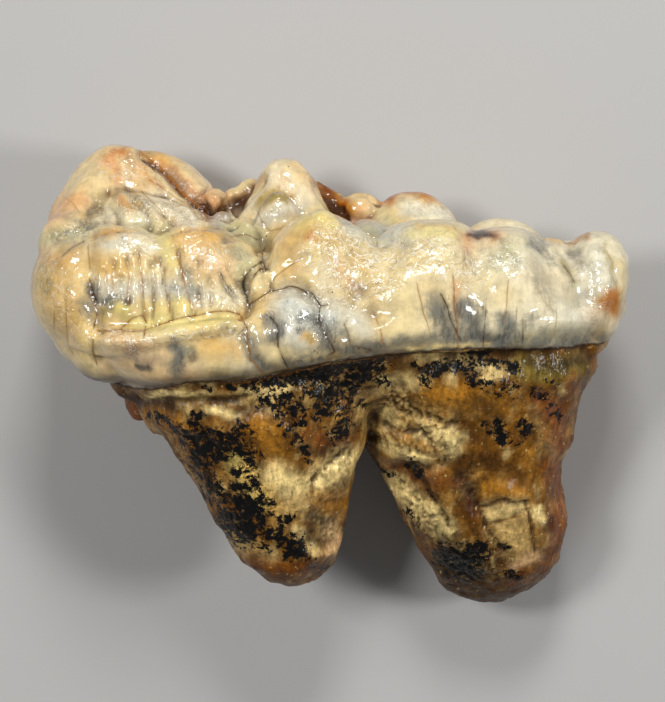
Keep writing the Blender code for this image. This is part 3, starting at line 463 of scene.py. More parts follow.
# Stains of the enamel in the picture: colour, strength, half width in pixels, points
enamelStains = (
    ("peach", 0.4, 20, ((62, 212), (85, 182), (108, 160), (116, 178), (104, 204))),
    ("cream", 0.5, 7, ((70, 185), (88, 168), (96, 185), (100, 205))),
    ("salmon", 0.55, 8, ((52, 219), (62, 206), (80, 200))),
    ("burntOrange", 0.75, 5, ((106, 160), (116, 152), (126, 152))),
    ("salmon", 0.75, 4, ((112, 160), (117, 172), (120, 180))),
    ("burntOrange", 0.6, 4, ((125, 153), (140, 165), (150, 178), (162, 188))),
    ("cream", 0.6, 5, ((134, 156), (152, 168), (172, 188), (192, 204))),
    ("peach", 0.5, 8, ((132, 172), (142, 188))),
    ("sage", 0.4, 12, ((100, 216), (118, 206), (140, 216), (160, 222))),
    ("pearl", 0.35, 9, ((108, 218), (128, 218), (146, 214))),
    ("burntOrange", 0.6, 4, ((118, 196), (124, 202), (130, 206))),
    ("ochre", 0.5, 7, ((132, 208), (150, 206), (170, 218), (186, 226))),
    ("umber", 0.6, 3, ((112, 195), (122, 189), (132, 195), (146, 204))),
    ("ivory", 0.6, 10, ((156, 200), (172, 210), (192, 220))),
    ("rust", 0.95, 3.2, ((141, 153), (160, 167), (172, 180), (185, 195), (200, 207), (210, 219))),
    ("peach", 0.7, 9, ((150, 157), (172, 167), (190, 178), (202, 192))),
    ("burntOrange", 0.6, 2.5, ((160, 160), (176, 172), (190, 186), (202, 200))),
    ("ochre", 0.6, 6, ((150, 154), (168, 160), (180, 162))),
    ("mauve", 0.7, 6, ((168, 172), (182, 186), (196, 200))),
    ("cream", 0.6, 3, ((172, 160), (190, 174), (204, 190))),
    ("salmon", 0.8, 10, ((212, 202), (217, 206))),
    ("rust", 0.8, 4, ((202, 212), (212, 216), (224, 212))),
    ("pearl", 0.7, 6, ((218, 219), (226, 217))),
    ("slate", 0.5, 6, ((212, 228), (220, 229))),
    ("peach", 0.7, 7, ((230, 194), (238, 187))),
    ("cream", 0.9, 5, ((236, 190), (246, 183), (256, 180))),
    ("burntOrange", 0.8, 3, ((262, 178), (254, 186))),
    ("rust", 0.95, 4.5, ((228, 208), (240, 200), (250, 191), (262, 181))),
    ("cream", 0.8, 22, ((285, 175), (270, 200), (300, 198))),
    ("ochre", 0.7, 5, ((283, 174), (287, 182))),
    ("peach", 0.4, 6, ((296, 166), (306, 176), (314, 190))),
    # a painted highlight on the second outer cusp
    ("paintedHighlight", 0.3, 13, ((276, 176), (286, 192), (304, 200))),
    ("ivory", 0.6, 6, ((235, 212), (250, 204), (262, 198))),
    ("burntOrange", 1.0, 5, ((316, 174), (326, 188), (338, 202))),
    ("rust", 1.0, 6, ((321, 180), (331, 194), (342, 210), (352, 222))),
    ("amber", 1.0, 11, ((346, 206), (354, 206))),
    ("burntOrange", 0.9, 4, ((342, 202), (343, 214), (356, 220), (374, 216))),
    ("peach", 0.8, 7, ((362, 204), (372, 206))),
    ("cream", 0.8, 3.5, ((352, 198), (362, 200))),
    ("cream", 0.7, 5, ((374, 204), (380, 206))),
    ("burntOrange", 1.0, 7, ((386, 198), (396, 189), (412, 188), (430, 196))),
    ("oxblood", 1.0, 4.5, ((386, 194), (396, 188), (406, 188))),
    ("ochre", 0.7, 5, ((420, 200), (440, 206), (456, 216))),
    ("ivory", 0.8, 7, ((405, 208), (430, 212), (446, 216))),
    ("pearl", 0.7, 9, ((352, 228), (368, 228), (382, 232))),
    ("pearl", 0.7, 10, ((390, 234), (408, 238))),
    ("sage", 0.5, 5, ((372, 214), (392, 220))),
    ("ochre", 0.8, 6, ((262, 202), (277, 194), (290, 198))),
    ("olive", 0.6, 4, ((258, 206), (272, 198), (286, 200))),
    ("pearl", 0.6, 9, ((264, 217), (280, 213), (296, 212))),
    ("olive", 0.65, 4.5, ((264, 199), (277, 193), (290, 199))),
    ("sage", 0.7, 9, ((230, 228), (248, 230), (258, 238))),
    ("burntOrange", 0.5, 2.6, ((97, 236), (112, 231), (130, 232))),
    ("ochre", 0.6, 6, ((96, 240), (112, 236), (130, 236))),
    ("burntOrange", 0.55, 3.2, ((180, 235), (192, 230), (206, 232))),
    ("ochre", 0.7, 8, ((176, 242), (192, 236), (210, 240))),
    ("ochre", 0.8, 6, ((206, 234), (222, 238), (232, 243))),
    ("pearl", 0.6, 7, ((104, 246), (122, 242))),
    ("ivory", 0.7, 7, ((134, 240), (148, 248))),
    ("yellow", 0.6, 6, ((163, 240), (168, 250), (172, 264))),
    ("ochre", 0.65, 10, ((98, 262), (112, 268), (126, 266))),
    ("peach", 0.6, 13, ((196, 252), (212, 260), (222, 268))),
    ("slate", 0.45, 5, ((188, 272), (192, 288))),
    ("pearl", 0.6, 9, ((100, 292), (140, 288), (180, 290), (196, 294))),
    ("ivory", 0.5, 9, ((205, 296), (236, 298))),
    ("slate", 0.55, 4, ((96, 286), (100, 300), (94, 308))),
    ("olive", 0.6, 7, ((100, 313), (116, 308), (128, 314))),
    ("yellow", 0.55, 5, ((114, 302), (124, 308))),
    ("yellow", 0.55, 6, ((176, 303), (184, 306))),
    ("yellow", 0.4, 6, ((148, 308), (166, 310))),
    ("slate", 0.5, 3, ((222, 278), (228, 290))),
    ("sage", 0.7, 7, ((238, 250), (248, 262), (240, 272))),
    ("dark", 1.0, 3, ((89, 286), (91, 292), (95, 299))),
    ("dark", 0.9, 2.2, ((127, 300), (128, 303))),
    ("dark", 0.8, 1.8, ((107, 297), (113, 296))),
    ("ochre", 0.6, 24, ((48, 272), (62, 300), (78, 330))),
    ("amber", 0.4, 6, ((45, 258), (62, 262), (80, 248))),
    ("olive", 0.4, 6, ((38, 285), (44, 270), (46, 290))),
    ("sage", 0.6, 7, ((45, 240), (62, 234), (84, 230))),
    ("bone", 0.5, 8, ((84, 322), (88, 345), (92, 360))),
    ("slate", 0.4, 6, ((84, 300), (90, 312))),
    ("yellow", 0.55, 7, ((135, 324), (180, 322), (230, 318))),
    ("peach", 0.5, 8, ((115, 340), (140, 344), (168, 350))),
    ("peach", 0.5, 12, ((110, 362), (150, 372), (190, 372))),
    ("mauve", 0.6, 5, ((128, 352), (146, 362), (160, 360))),
    ("slate", 0.7, 8, ((176, 348), (180, 362), (176, 370))),
    ("umber", 0.6, 3.5, ((192, 348), (195, 358))),
    ("ochre", 0.7, 10, ((208, 345), (236, 350))),
    ("dark", 0.75, 2.6, ((140, 366), (147, 367))),
    ("amber", 0.4, 5, ((130, 348), (142, 350))),
    # painted shade along the neck at the front, where the crown turns down
    ("umber", 0.5, 5, ((100, 382), (140, 386), (190, 379), (245, 376))),
    ("cream", 0.85, 8, ((256, 276), (262, 288), (264, 298))),
    ("ochre", 0.6, 14, ((303, 226), (288, 245), (290, 272))),
    ("yellow", 0.45, 7, ((300, 224), (318, 215), (332, 222))),
    ("burntOrange", 0.65, 4, ((309, 234), (317, 238))),
    ("sand", 0.35, 15, ((338, 246), (360, 262), (374, 280))),
    ("peach", 0.5, 6, ((335, 262), (348, 276), (356, 288))),
    ("mauve", 0.45, 4, ((355, 284), (364, 292))),
    ("sage", 0.5, 6, ((352, 222), (372, 232), (384, 242))),
    ("olive", 0.4, 4, ((300, 279), (308, 282))),
    ("ochre", 0.5, 5, ((252, 306), (268, 296), (282, 292))),
    ("pearl", 0.9, 15, ((290, 303), (312, 316), (330, 318))),
    ("pearl", 0.7, 13, ((285, 325), (300, 340))),
    ("slate", 0.6, 6, ((304, 316), (320, 322), (324, 340), (330, 350))),
    ("slate", 0.6, 5, ((270, 318), (279, 332), (266, 340))),
    ("slate", 0.5, 6, ((256, 338), (252, 352), (262, 362))),
    ("ochre", 0.9, 5, ((304, 336), (311, 338))),
    ("olive", 0.5, 3, ((306, 337), (311, 339))),
    ("cream", 0.6, 6, ((284, 352), (304, 354), (320, 352))),
    ("umber", 0.5, 6, ((254, 368), (274, 366))),
    ("slate", 0.55, 8, ((338, 334), (350, 344), (366, 348))),
    ("pearl", 0.55, 9, ((356, 318), (366, 330))),
    ("cream", 0.7, 16, ((395, 270), (405, 300), (398, 325))),
    ("yellow", 0.55, 7, ((410, 234), (436, 229), (458, 236))),
    ("ochre", 0.6, 3, ((418, 226), (440, 224), (456, 230))),
    ("cream", 0.6, 12, ((420, 255), (440, 262))),
    ("burntOrange", 0.55, 3.5, ((455, 284), (456, 300), (458, 314))),
    ("slate", 0.6, 8, ((436, 300), (442, 318), (448, 332))),
    ("slate", 0.7, 9, ((464, 308), (472, 322), (470, 336))),
    ("peach", 0.7, 8, ((466, 240), (482, 236), (498, 236))),
    ("rust", 0.9, 4.5, ((470, 237), (482, 234), (495, 236))),
    ("umber", 0.9, 2.4, ((473, 236), (482, 234), (491, 236))),
    ("salmon", 0.4, 4, ((466, 240), (470, 252))),
    ("dark", 0.85, 1.8, ((479, 235), (484, 235))),
    ("sage", 0.55, 12, ((500, 262), (512, 250))),
    ("cream", 0.6, 12, ((488, 288), (506, 296))),
    ("slate", 0.6, 8, ((506, 322), (512, 334), (500, 338))),
    ("slate", 0.55, 5, ((532, 243), (542, 246))),
    ("slate", 0.25, 6, ((536, 262), (548, 285), (556, 302))),
    ("ochre", 0.7, 3.5, ((538, 234), (552, 238), (560, 242))),
    ("olive", 0.6, 3, ((562, 262), (570, 274), (576, 284))),
    ("ivory", 0.7, 10, ((566, 312), (576, 322), (570, 332))),
    ("ivory", 0.8, 16, ((588, 262), (598, 282), (586, 312))),
    ("amber", 0.9, 3.5, ((569, 243), (576, 237), (588, 235))),
    ("olive", 0.6, 2.5, ((604, 246), (612, 264), (616, 288))),
    ("cream", 0.8, 4, ((620, 262), (625, 285), (620, 310))),
    ("amber", 0.9, 10, ((604, 302), (613, 298), (612, 308))),
    ("burntOrange", 0.8, 5, ((606, 304), (613, 296), (613, 308))),
    ("amber", 0.35, 9, ((592, 318), (602, 328), (596, 336))),
    # the umber and grey lines below are painted shade along the neck, where the enamel turns in above the
    # root
    ("umber", 0.3, 4, ((370, 350), (410, 342), (460, 338), (520, 338), (570, 336), (602, 334))),
    ("slate", 0.35, 3.5, ((396, 340), (440, 337), (500, 338), (545, 337))),
    ("olive", 0.35, 8, ((520, 336), (560, 334), (600, 330))),
    ("bone", 0.75, 1.6, ((408, 349), (440, 345), (490, 345))),
)

# Stains of the roots, in the same way as those of the enamel
rootStains = (
    ("bone", 0.95, 3.5, ((150, 396), (172, 394), (190, 395), (206, 397))),
    ("bone", 0.9, 3.5, ((206, 409), (222, 413), (238, 416))),
    ("bone", 0.8, 5, ((241, 394), (262, 393), (285, 387))),
    ("sand", 0.7, 5, ((222, 398), (250, 404), (270, 404))),
    ("umber", 0.75, 4, ((118, 392), (135, 402), (150, 407), (172, 406))),
    ("umber", 0.5, 2.5, ((210, 400), (224, 398), (238, 401))),
    ("amber", 0.7, 8, ((150, 414), (168, 420), (184, 430))),
    ("amber", 0.85, 13, ((262, 424), (270, 440), (276, 460))),
    ("umber", 0.6, 5, ((244, 412), (262, 409), (282, 418))),
    ("yellow", 0.7, 9, ((238, 464), (250, 482), (262, 500))),
    ("ochre", 0.7, 9, ((244, 470), (262, 492), (280, 512))),
    ("bone", 0.9, 12, ((274, 474), (290, 486), (304, 492))),
    ("bone", 1.0, 11, ((350, 456), (334, 470), (316, 484))),
    ("sand", 0.6, 9, ((318, 492), (300, 502), (286, 512))),
    ("rust", 0.75, 8, ((306, 436), (326, 444), (348, 440))),
    ("umber", 0.6, 5, ((302, 448), (322, 452), (344, 448))),
    ("amber", 0.85, 10, ((318, 502), (336, 506), (344, 500))),
    ("umber", 0.85, 6.5, ((310, 514), (320, 518), (328, 524))),
    ("peach", 0.6, 7, ((332, 530), (338, 542), (330, 552))),
    ("sand", 0.7, 7, ((236, 542), (252, 550), (272, 556))),
    ("bone", 0.55, 5, ((296, 530), (306, 540), (314, 552))),
    ("rust", 0.6, 8, ((255, 560), (290, 572), (325, 566))),
    ("umber", 0.5, 5, ((300, 560), (316, 566), (336, 560))),
    ("bone", 0.75, 6, ((382, 380), (402, 382), (426, 384))),
    ("bone", 0.6, 5, ((420, 358), (440, 358), (457, 356))),
    ("sand", 0.7, 9, ((362, 404), (370, 420), (380, 432))),
    ("amber", 0.95, 11, ((430, 392), (450, 396), (466, 402))),
    ("amber", 0.6, 11, ((472, 398), (500, 406), (518, 414))),
    ("umber", 0.5, 6, ((458, 408), (478, 400), (500, 418))),
    ("bone", 0.9, 6, ((384, 410), (392, 420), (398, 424))),
    ("bone", 1.0, 7.5, ((428, 428), (444, 434), (456, 442), (448, 450))),
    ("bone", 0.95, 5, ((380, 444), (400, 452), (420, 460), (430, 458))),
    ("ochre", 0.7, 7, ((404, 420), (420, 414), (436, 420))),
    ("amber", 0.6, 5, ((396, 434), (412, 442), (424, 448))),
    ("olive", 0.75, 11, ((520, 364), (545, 372), (575, 366))),
    ("umber", 0.75, 8, ((530, 362), (556, 366), (584, 358))),
    ("bone", 0.6, 6, ((470, 360), (500, 372), (486, 378))),
    ("amber", 0.6, 8, ((436, 458), (446, 466), (452, 474))),
    ("umber", 0.6, 8, ((448, 458), (468, 460), (492, 462))),
    ("rust", 0.6, 8, ((396, 468), (404, 474), (440, 480))),
    ("bone", 1.0, 9, ((392, 482), (408, 498), (426, 512), (444, 528))),
    ("umber", 0.8, 3, ((424, 480), (430, 492), (436, 502))),
    ("oxblood", 0.95, 9, ((458, 480), (468, 494), (474, 510))),
    ("amber", 0.8, 9, ((488, 486), (502, 492), (518, 496))),
    ("sand", 1.0, 9, ((494, 512), (508, 508), (522, 508))),
    ("sand", 0.9, 13, ((502, 528), (516, 532), (520, 544))),
    ("bone", 0.5, 5, ((492, 514), (508, 510), (520, 506))),
    ("rust", 0.85, 10, ((540, 400), (556, 420), (560, 445))),
    ("rust", 0.85, 10, ((550, 468), (562, 500), (556, 540))),
    ("amber", 0.6, 8, ((528, 450), (532, 475), (526, 490))),
    ("oxblood", 0.75, 5, ((548, 518), (552, 526))),
    ("bone", 0.95, 4.5, ((536, 510), (540, 520))),
    ("umber", 0.9, 10, ((450, 548), (468, 556), (478, 570))),
    ("umber", 0.7, 8, ((440, 562), (452, 582), (480, 586))),
    ("peach", 0.8, 5, ((514, 566), (528, 560), (540, 556))),
    ("rust", 0.6, 8, ((520, 582), (540, 572), (552, 560))),
    ("umber", 0.6, 8, ((428, 528), (444, 540), (456, 534))),
    ("rust", 0.5, 6, ((572, 376), (566, 400), (562, 420))),
)

# Black mineral on the roots: strength, half width in pixels, points
blackPatches = (
    (0.95, 6, ((243, 383), (262, 384), (285, 379), (310, 372))),
    (0.95, 8, ((300, 377), (325, 372), (350, 366), (378, 361))),
    (0.85, 11, ((310, 385), (330, 392), (352, 380), (365, 372))),
    (0.9, 5, ((262, 402), (285, 397), (302, 412))),
    (0.75, 7, ((280, 407), (296, 416), (300, 425))),
    (0.75, 9, ((320, 410), (342, 412), (345, 428), (336, 434))),
    (0.7, 6, ((355, 378), (378, 374), (384, 384))),
    (0.6, 5, ((346, 392), (352, 402), (362, 402))),
    (0.95, 5.5, ((426, 372), (444, 366), (466, 366), (480, 356))),
    (0.95, 3, ((464, 352), (480, 349), (488, 352))),
    (0.85, 4, ((488, 360), (496, 364))),
    (0.95, 4.5, ((510, 364), (515, 368))),
    (0.7, 4, ((414, 362), (424, 372), (428, 384))),
    (0.6, 8, ((470, 376), (490, 382), (512, 388))),
    (0.85, 4, ((534, 392), (542, 396))),
    (0.6, 5, ((552, 410), (558, 416))),
    (0.6, 4, ((548, 378), (556, 385))),
    (0.9, 3, ((482, 424), (488, 430))),
    (0.95, 5, ((498, 426), (502, 438))),
    (0.95, 4.5, ((524, 424), (526, 434))),
    (0.8, 2.5, ((512, 442), (516, 446))),
    (0.9, 2.6, ((205, 388), (210, 389))),
    (0.9, 2.6, ((226, 387), (232, 387))),
    (0.95, 5, ((192, 426), (198, 418))),
    (0.95, 9, ((190, 438), (212, 440), (232, 438))),
    (0.95, 9, ((200, 452), (222, 452))),
    (0.75, 8, ((198, 466), (212, 480), (208, 492))),
    (0.95, 6.5, ((242, 450), (252, 456), (248, 464))),
    (0.85, 5, ((216, 490), (223, 497))),
    (0.9, 3.5, ((232, 470), (238, 473))),
    (0.9, 4, ((250, 480), (256, 484))),
    (0.95, 5, ((236, 486), (250, 490))),
    (1.0, 12, ((242, 504), (256, 508), (248, 522))),
    (0.9, 12, ((228, 520), (240, 532), (252, 528))),
    (0.95, 7, ((264, 532), (282, 538), (296, 548))),
    (0.9, 6, ((290, 552), (302, 550), (300, 542))),
    (0.8, 4, ((286, 520), (292, 518))),
    (0.75, 3, ((276, 514), (280, 522))),
    (0.7, 4, ((256, 545), (266, 548))),
    (0.75, 4, ((240, 424), (254, 430), (252, 440))),
    (0.7, 5, ((286, 428), (296, 438))),
    (0.8, 5, ((302, 450), (308, 458))),
    (0.7, 5, ((150, 412), (168, 422), (182, 436))),
    (0.35, 5, ((185, 450), (205, 490), (228, 530))),
    (0.95, 4.5, ((412, 464), (420, 474))),
    (0.7, 3, ((376, 466), (392, 474))),
    (1.0, 10, ((444, 556), (462, 560), (478, 552))),
    (0.9, 8, ((450, 568), (474, 570))),
    (0.8, 4, ((506, 574), (520, 576))),
    (0.85, 2.6, ((500, 546), (508, 547))),
    (0.8, 3, ((430, 490), (433, 498))),
    (0.7, 4, ((408, 510), (416, 522))),
    (0.5, 5, ((310, 562), (325, 570))),
)

# Cracks and dark seams: half width in pixels, darkness from rust 0 to black 1, points
cracks = (
    (0.8, 0.5, ((88, 246), (89, 256), (90, 268))),
    (1.2, 0.8, ((90, 280), (92, 292), (97, 314), (94, 328))),
    (0.9, 0.6, ((93, 338), (93, 352), (97, 364))),
    (1.2, 0.6, ((98, 331), (108, 331), (120, 330), (135, 331), (145, 330), (158, 325), (170, 321))),
    (1.2, 0.6, ((170, 321), (185, 317), (199, 315), (212, 312), (228, 311), (240, 314), (247, 328))),
    (0.9, 0.5, ((247, 328), (248, 345), (252, 360), (262, 372))),
    (1.1, 0.6, ((120, 330), (126, 324), (132, 318), (143, 315), (146, 323), (144, 336))),
    (2.4, 1.0, ((263, 261), (252, 268), (245, 277), (243, 287), (247, 298), (248, 306))),
    (1.2, 0.9, ((253, 276), (260, 269), (270, 270))),
    (1.0, 0.9, ((248, 306), (258, 299), (270, 291), (281, 290), (290, 286), (299, 288), (306, 292))),
    (1.3, 1.0, ((306, 292), (312, 293), (317, 300), (320, 306), (329, 304))),
    (1.1, 0.9, ((320, 306), (319, 318), (321, 328), (330, 342), (335, 352), (327, 356))),
    (0.8, 0.7, ((270, 289), (271, 282), (277, 275), (284, 270), (293, 264), (303, 257))),
    (1.0, 0.8, ((266, 246), (262, 253), (263, 262), (266, 270))),
    (1.2, 0.95, ((270, 317), (277, 325), (278, 335), (278, 346), (282, 356), (288, 368))),
    (1.0, 0.8, ((247, 344), (250, 352), (250, 360))),
    (0.8, 0.7, ((344, 324), (348, 334), (350, 345))),
    (0.8, 0.8, ((356, 346), (370, 350), (384, 356))),
    (0.9, 0.3, ((371, 308), (376, 318), (380, 328), (383, 344))),
    (0.8, 0.35, ((417, 284), (420, 298), (423, 311), (427, 322), (431, 336))),
    (1.2, 0.95, ((441, 294), (447, 306), (450, 318), (456, 330), (460, 340))),
    (0.9, 0.6, ((453, 276), (454, 292), (454, 308), (457, 325), (458, 348))),
    (0.8, 0.9, ((486, 303), (485, 320), (484, 334), (483, 346))),
    (0.8, 0.5, ((508, 280), (507, 295), (506, 310), (505, 322))),
    (0.9, 0.9, ((523, 321), (523, 332), (522, 342))),
    (0.7, 0.8, ((517, 308), (516, 320))),
    (0.6, 0.8, ((556, 308), (557, 318), (553, 338))),
    (0.6, 0.6, ((590, 328), (584, 338), (579, 346))),
    (0.55, 0.35, ((604, 246), (612, 262), (616, 280), (616, 297))),
    (0.7, 0.7, ((66, 296), (66, 314), (67, 330), (68, 344), (74, 356))),
    (0.7, 0.7, ((54, 310), (54, 328))),
    (0.6, 0.15, ((113, 262), (112, 276), (113, 290))),
    (0.8, 0.2, ((127, 264), (129, 277), (128, 292), (128, 304))),
    (0.8, 0.3, ((139, 254), (141, 270), (143, 284), (144, 300), (145, 318))),
    (0.6, 0.2, ((152, 280), (152, 293), (153, 305), (152, 318))),
    (0.8, 0.15, ((154, 256), (157, 262), (165, 268), (165, 285), (168, 300), (170, 312))),
    (0.9, 0.25, ((177, 252), (181, 268), (184, 282), (188, 296), (193, 308))),
    (0.7, 0.2, ((198, 262), (198, 276), (199, 290), (201, 304))),
    (0.8, 0.9, ((221, 274), (226, 284), (232, 292))),
    (1.2, 1.0, ((91, 286), (95, 298), (98, 303))),
    (0.5, 0.35, ((92, 182), (92, 196), (91, 210), (90, 224))),
    (0.6, 0.4, ((118, 190), (109, 198), (100, 207), (93, 214))),
    (0.7, 0.6, ((142, 192), (150, 200), (160, 210), (166, 218))),
    (0.7, 0.6, ((150, 180), (162, 188), (176, 198), (186, 204))),
    (0.6, 0.5, ((64, 197), (74, 204), (80, 214))),
    (1.4, 0.2, ((141, 153), (160, 167), (172, 180), (185, 195), (199, 206))),
    (0.9, 0.8, ((62, 256), (72, 248), (84, 241))),
    (0.8, 0.7, ((231, 237), (246, 234), (258, 240))),
    (0.8, 0.7, ((258, 212), (262, 222), (270, 231), (280, 229))),
    (0.6, 0.7, ((255, 222), (260, 208), (269, 197), (280, 191), (291, 197), (300, 211))),
    (1.0, 0.9, ((564, 266), (570, 274), (574, 282))),
    (0.4, 0.5, ((530, 252), (539, 262), (550, 284))),
    (0.4, 0.4, ((542, 250), (549, 266), (560, 282))),
    (0.5, 0.6, ((536, 285), (543, 301), (556, 312))),
    (0.8, 0.9, ((391, 382), (393, 398), (399, 414))),
    (0.7, 0.9, ((475, 394), (478, 412), (478, 432), (479, 450))),
    (0.7, 0.8, ((456, 398), (460, 410), (462, 424))),
    (0.9, 0.8, ((424, 478), (430, 490), (437, 500))),
    (0.8, 0.6, ((488, 530), (502, 520), (521, 516))),
    (0.8, 0.7, ((524, 505), (532, 520), (535, 546))),
    (0.7, 0.6, ((312, 482), (313, 492), (310, 502))),
    (0.8, 0.8, ((479, 526), (490, 545), (500, 556))),
    (0.6, 0.6, ((520, 395), (524, 412), (522, 424))),
)

# Grey mineral that clouds the enamel: strength, half width in pixels, points
smoke = (
    (0.8, 4, ((92, 290), (96, 299), (110, 303))),
    (0.6, 4, ((112, 298), (128, 300))),
    (0.5, 6, ((100, 318), (106, 310))),
    (0.45, 6, ((86, 306), (90, 318))),
    (0.5, 7, ((60, 236), (78, 228), (96, 226))),
    (0.35, 6, ((42, 270), (46, 286))),
    (0.5, 5, ((184, 268), (188, 284))),
    (0.5, 3, ((220, 276), (227, 286), (236, 296))),
    (0.45, 6, ((230, 240), (242, 256))),
    (0.35, 8, ((176, 288), (196, 294))),
    (0.8, 7, ((174, 346), (182, 356), (178, 366))),
    (0.8, 3, ((138, 366), (148, 367))),
    (0.6, 3, ((192, 350), (196, 358))),
    (0.5, 4, ((222, 326), (232, 330))),
    (0.6, 6, ((246, 336), (252, 352), (262, 366))),
    (0.75, 6, ((268, 318), (280, 328), (276, 340))),
    (0.85, 6, ((304, 318), (320, 326), (328, 344), (318, 350))),
    (0.7, 4, ((300, 330), (312, 328))),
    (0.75, 6, ((334, 346), (356, 350), (380, 344))),
    (0.5, 6, ((335, 318), (342, 332))),
    (0.7, 5, ((290, 362), (320, 358))),
    (0.4, 5, ((380, 344), (410, 340), (440, 336))),
    (0.9, 10, ((436, 308), (446, 322), (452, 334))),
    (0.95, 9, ((466, 306), (474, 320), (478, 336))),
    (0.85, 7, ((504, 318), (510, 332), (502, 340))),
    (0.5, 4, ((440, 342), (480, 341), (520, 340))),
    (0.6, 4.5, ((500, 343), (560, 341), (604, 338))),
    (0.7, 3, ((482, 306), (484, 322), (484, 338))),
    (0.6, 3, ((524, 322), (522, 340))),
    (0.5, 7, ((530, 320), (545, 330))),
    (0.6, 5, ((532, 243), (544, 250), (552, 262))),
    (0.3, 6, ((530, 275), (545, 292), (552, 306))),
    (0.35, 6, ((500, 244), (512, 256))),
    (0.4, 5, ((360, 290), (356, 300))),
)

# The neck in the picture, where the enamel ends. The sides that it doesn't show follow neckCurve.
neckLine = (
    (10, 340), (30, 350), (60, 368), (91, 380), (108, 384), (128, 388), (150, 389), (170, 386), (188, 382),
    (215, 381), (240, 381), (262, 378), (285, 372), (330, 362), (380, 356), (420, 352), (480, 348),
    (530, 350), (560, 348), (605, 345), (640, 338),
)


def fade(share):
    # 1 at 0, falling smoothly to 0 at 1
    share = np.clip(share, 0, 1)
    return 1 - share * share * (3 - 2 * share)


def between(before, start, end, after, t):
    # the point at share t on a Catmull-Rom curve
    return 0.5 * (
        2 * start + (end - before) * t
        + (2 * before - 5 * start + 4 * end - after) * t**2
        + (3 * start - before - 3 * end + after) * t**3
    )


def smoothLoop(points, steps):
    loop = []
    count = len(points)
    for i in range(count):
        around = [Vector(points[(i + k) % count]) for k in (-1, 0, 1, 2)]
        loop.extend(between(*around, step / steps) for step in range(steps))
    return loop


def smoothPath(points, steps):
    ends = [2 * Vector(points[0]) - Vector(points[1]), 2 * Vector(points[-1]) - Vector(points[-2])]
    held = [ends[0], *map(Vector, points), ends[1]]
    path = []
    for i in range(1, len(held) - 2):
        path.extend(between(*held[i - 1:i + 3], step / steps) for step in range(steps))
    path.append(held[-2])
    return path


def addRings(bm, rings):
    layers = [[bm.verts.new(point) for point in ring] for ring in rings]
    count = len(layers[0])
    for lower, upper in zip(layers, layers[1:]):
        for i in range(count):
            j = (i + 1) % count
            bm.faces.new((lower[i], lower[j], upper[j], upper[i]))
    bm.faces.new(list(reversed(layers[0])))
    bm.faces.new(layers[-1])


def neckHeight(u):
    return sum(factor * u**power for power, factor in enumerate(toothForm["neckCurve"]))


def addCrownWall(bm):
    half = Vector((toothForm["crownLength"] / 2, toothForm["crownWidth"] / 2))
    line = smoothLoop([(a * half.x, b * half.y) for a, b in outline], toothForm["outlineSteps"])
    count = len(line)
    levels = [(0, -depth, inset) for depth, inset in trunkProfile]
    levels += [(share, 0, inset) for share, inset in wallProfile]
    rings = []
    for share, offset, inset in levels:
        slope = max(0.0, 1 - share / toothForm["tuckShare"]) ** 2
        ring = []
        for i, point in enumerate(line):
            along = (line[(i + 1) % count] - line[i - 1]).normalized()
            inward = Vector((-along.y, along.x))
            front = fade(2 + 2 * point.x / half.x)
            cheek = fade(1 - point.y / half.y)
            heel = fade(2 - 2 * point.x / half.x)
            sides = {"frontTuck": front, "cheekTuck": cheek, "heelTuck": heel}
            tuck = slope * max(toothForm[side] * share for side, share in sides.items())
            u, v = point + inward * (inset + tuck)
            low = neckHeight(u)
            ring.append((u, v, low + offset + share * (toothForm["basinLevel"] - low)))
        rings.append(ring)
    addRings(bm, rings)


def addSwelling(bm, centre, radii):
    place = Matrix.Translation(centre) @ Matrix.Diagonal((*radii, 1.0))
    bmesh.ops.create_icosphere(bm, subdivisions=toothForm["beadDetail"], radius=1.0, matrix=place)


def ovalPoint(angle):
    cosine, sine = math.cos(angle), math.sin(angle)
    power = 2 / toothForm["ovalSquareness"]
    return math.copysign(abs(cosine) ** power, cosine), math.copysign(abs(sine) ** power, sine)


def addStack(bm, sections):
    sides = toothForm["stackSides"]
    corners = [ovalPoint(math.tau * i / sides) for i in range(sides)]
    rings = []
    for w, u, v, halfLength, halfWidth in sorted(sections):
        rings.append([(u + halfLength * x, v + halfWidth * y, w) for x, y in corners])
    addRings(bm, rings)


def newObject(name, data):
    obj = bpy.data.objects.new(name, data)
    bpy.context.scene.collection.objects.link(obj)
    return obj


def bakedMesh(obj):
    # the mesh that the object's modifiers make
    graph = bpy.context.evaluated_depsgraph_get()
    graph.update()
    return bpy.data.meshes.new_from_object(obj.evaluated_get(graph))


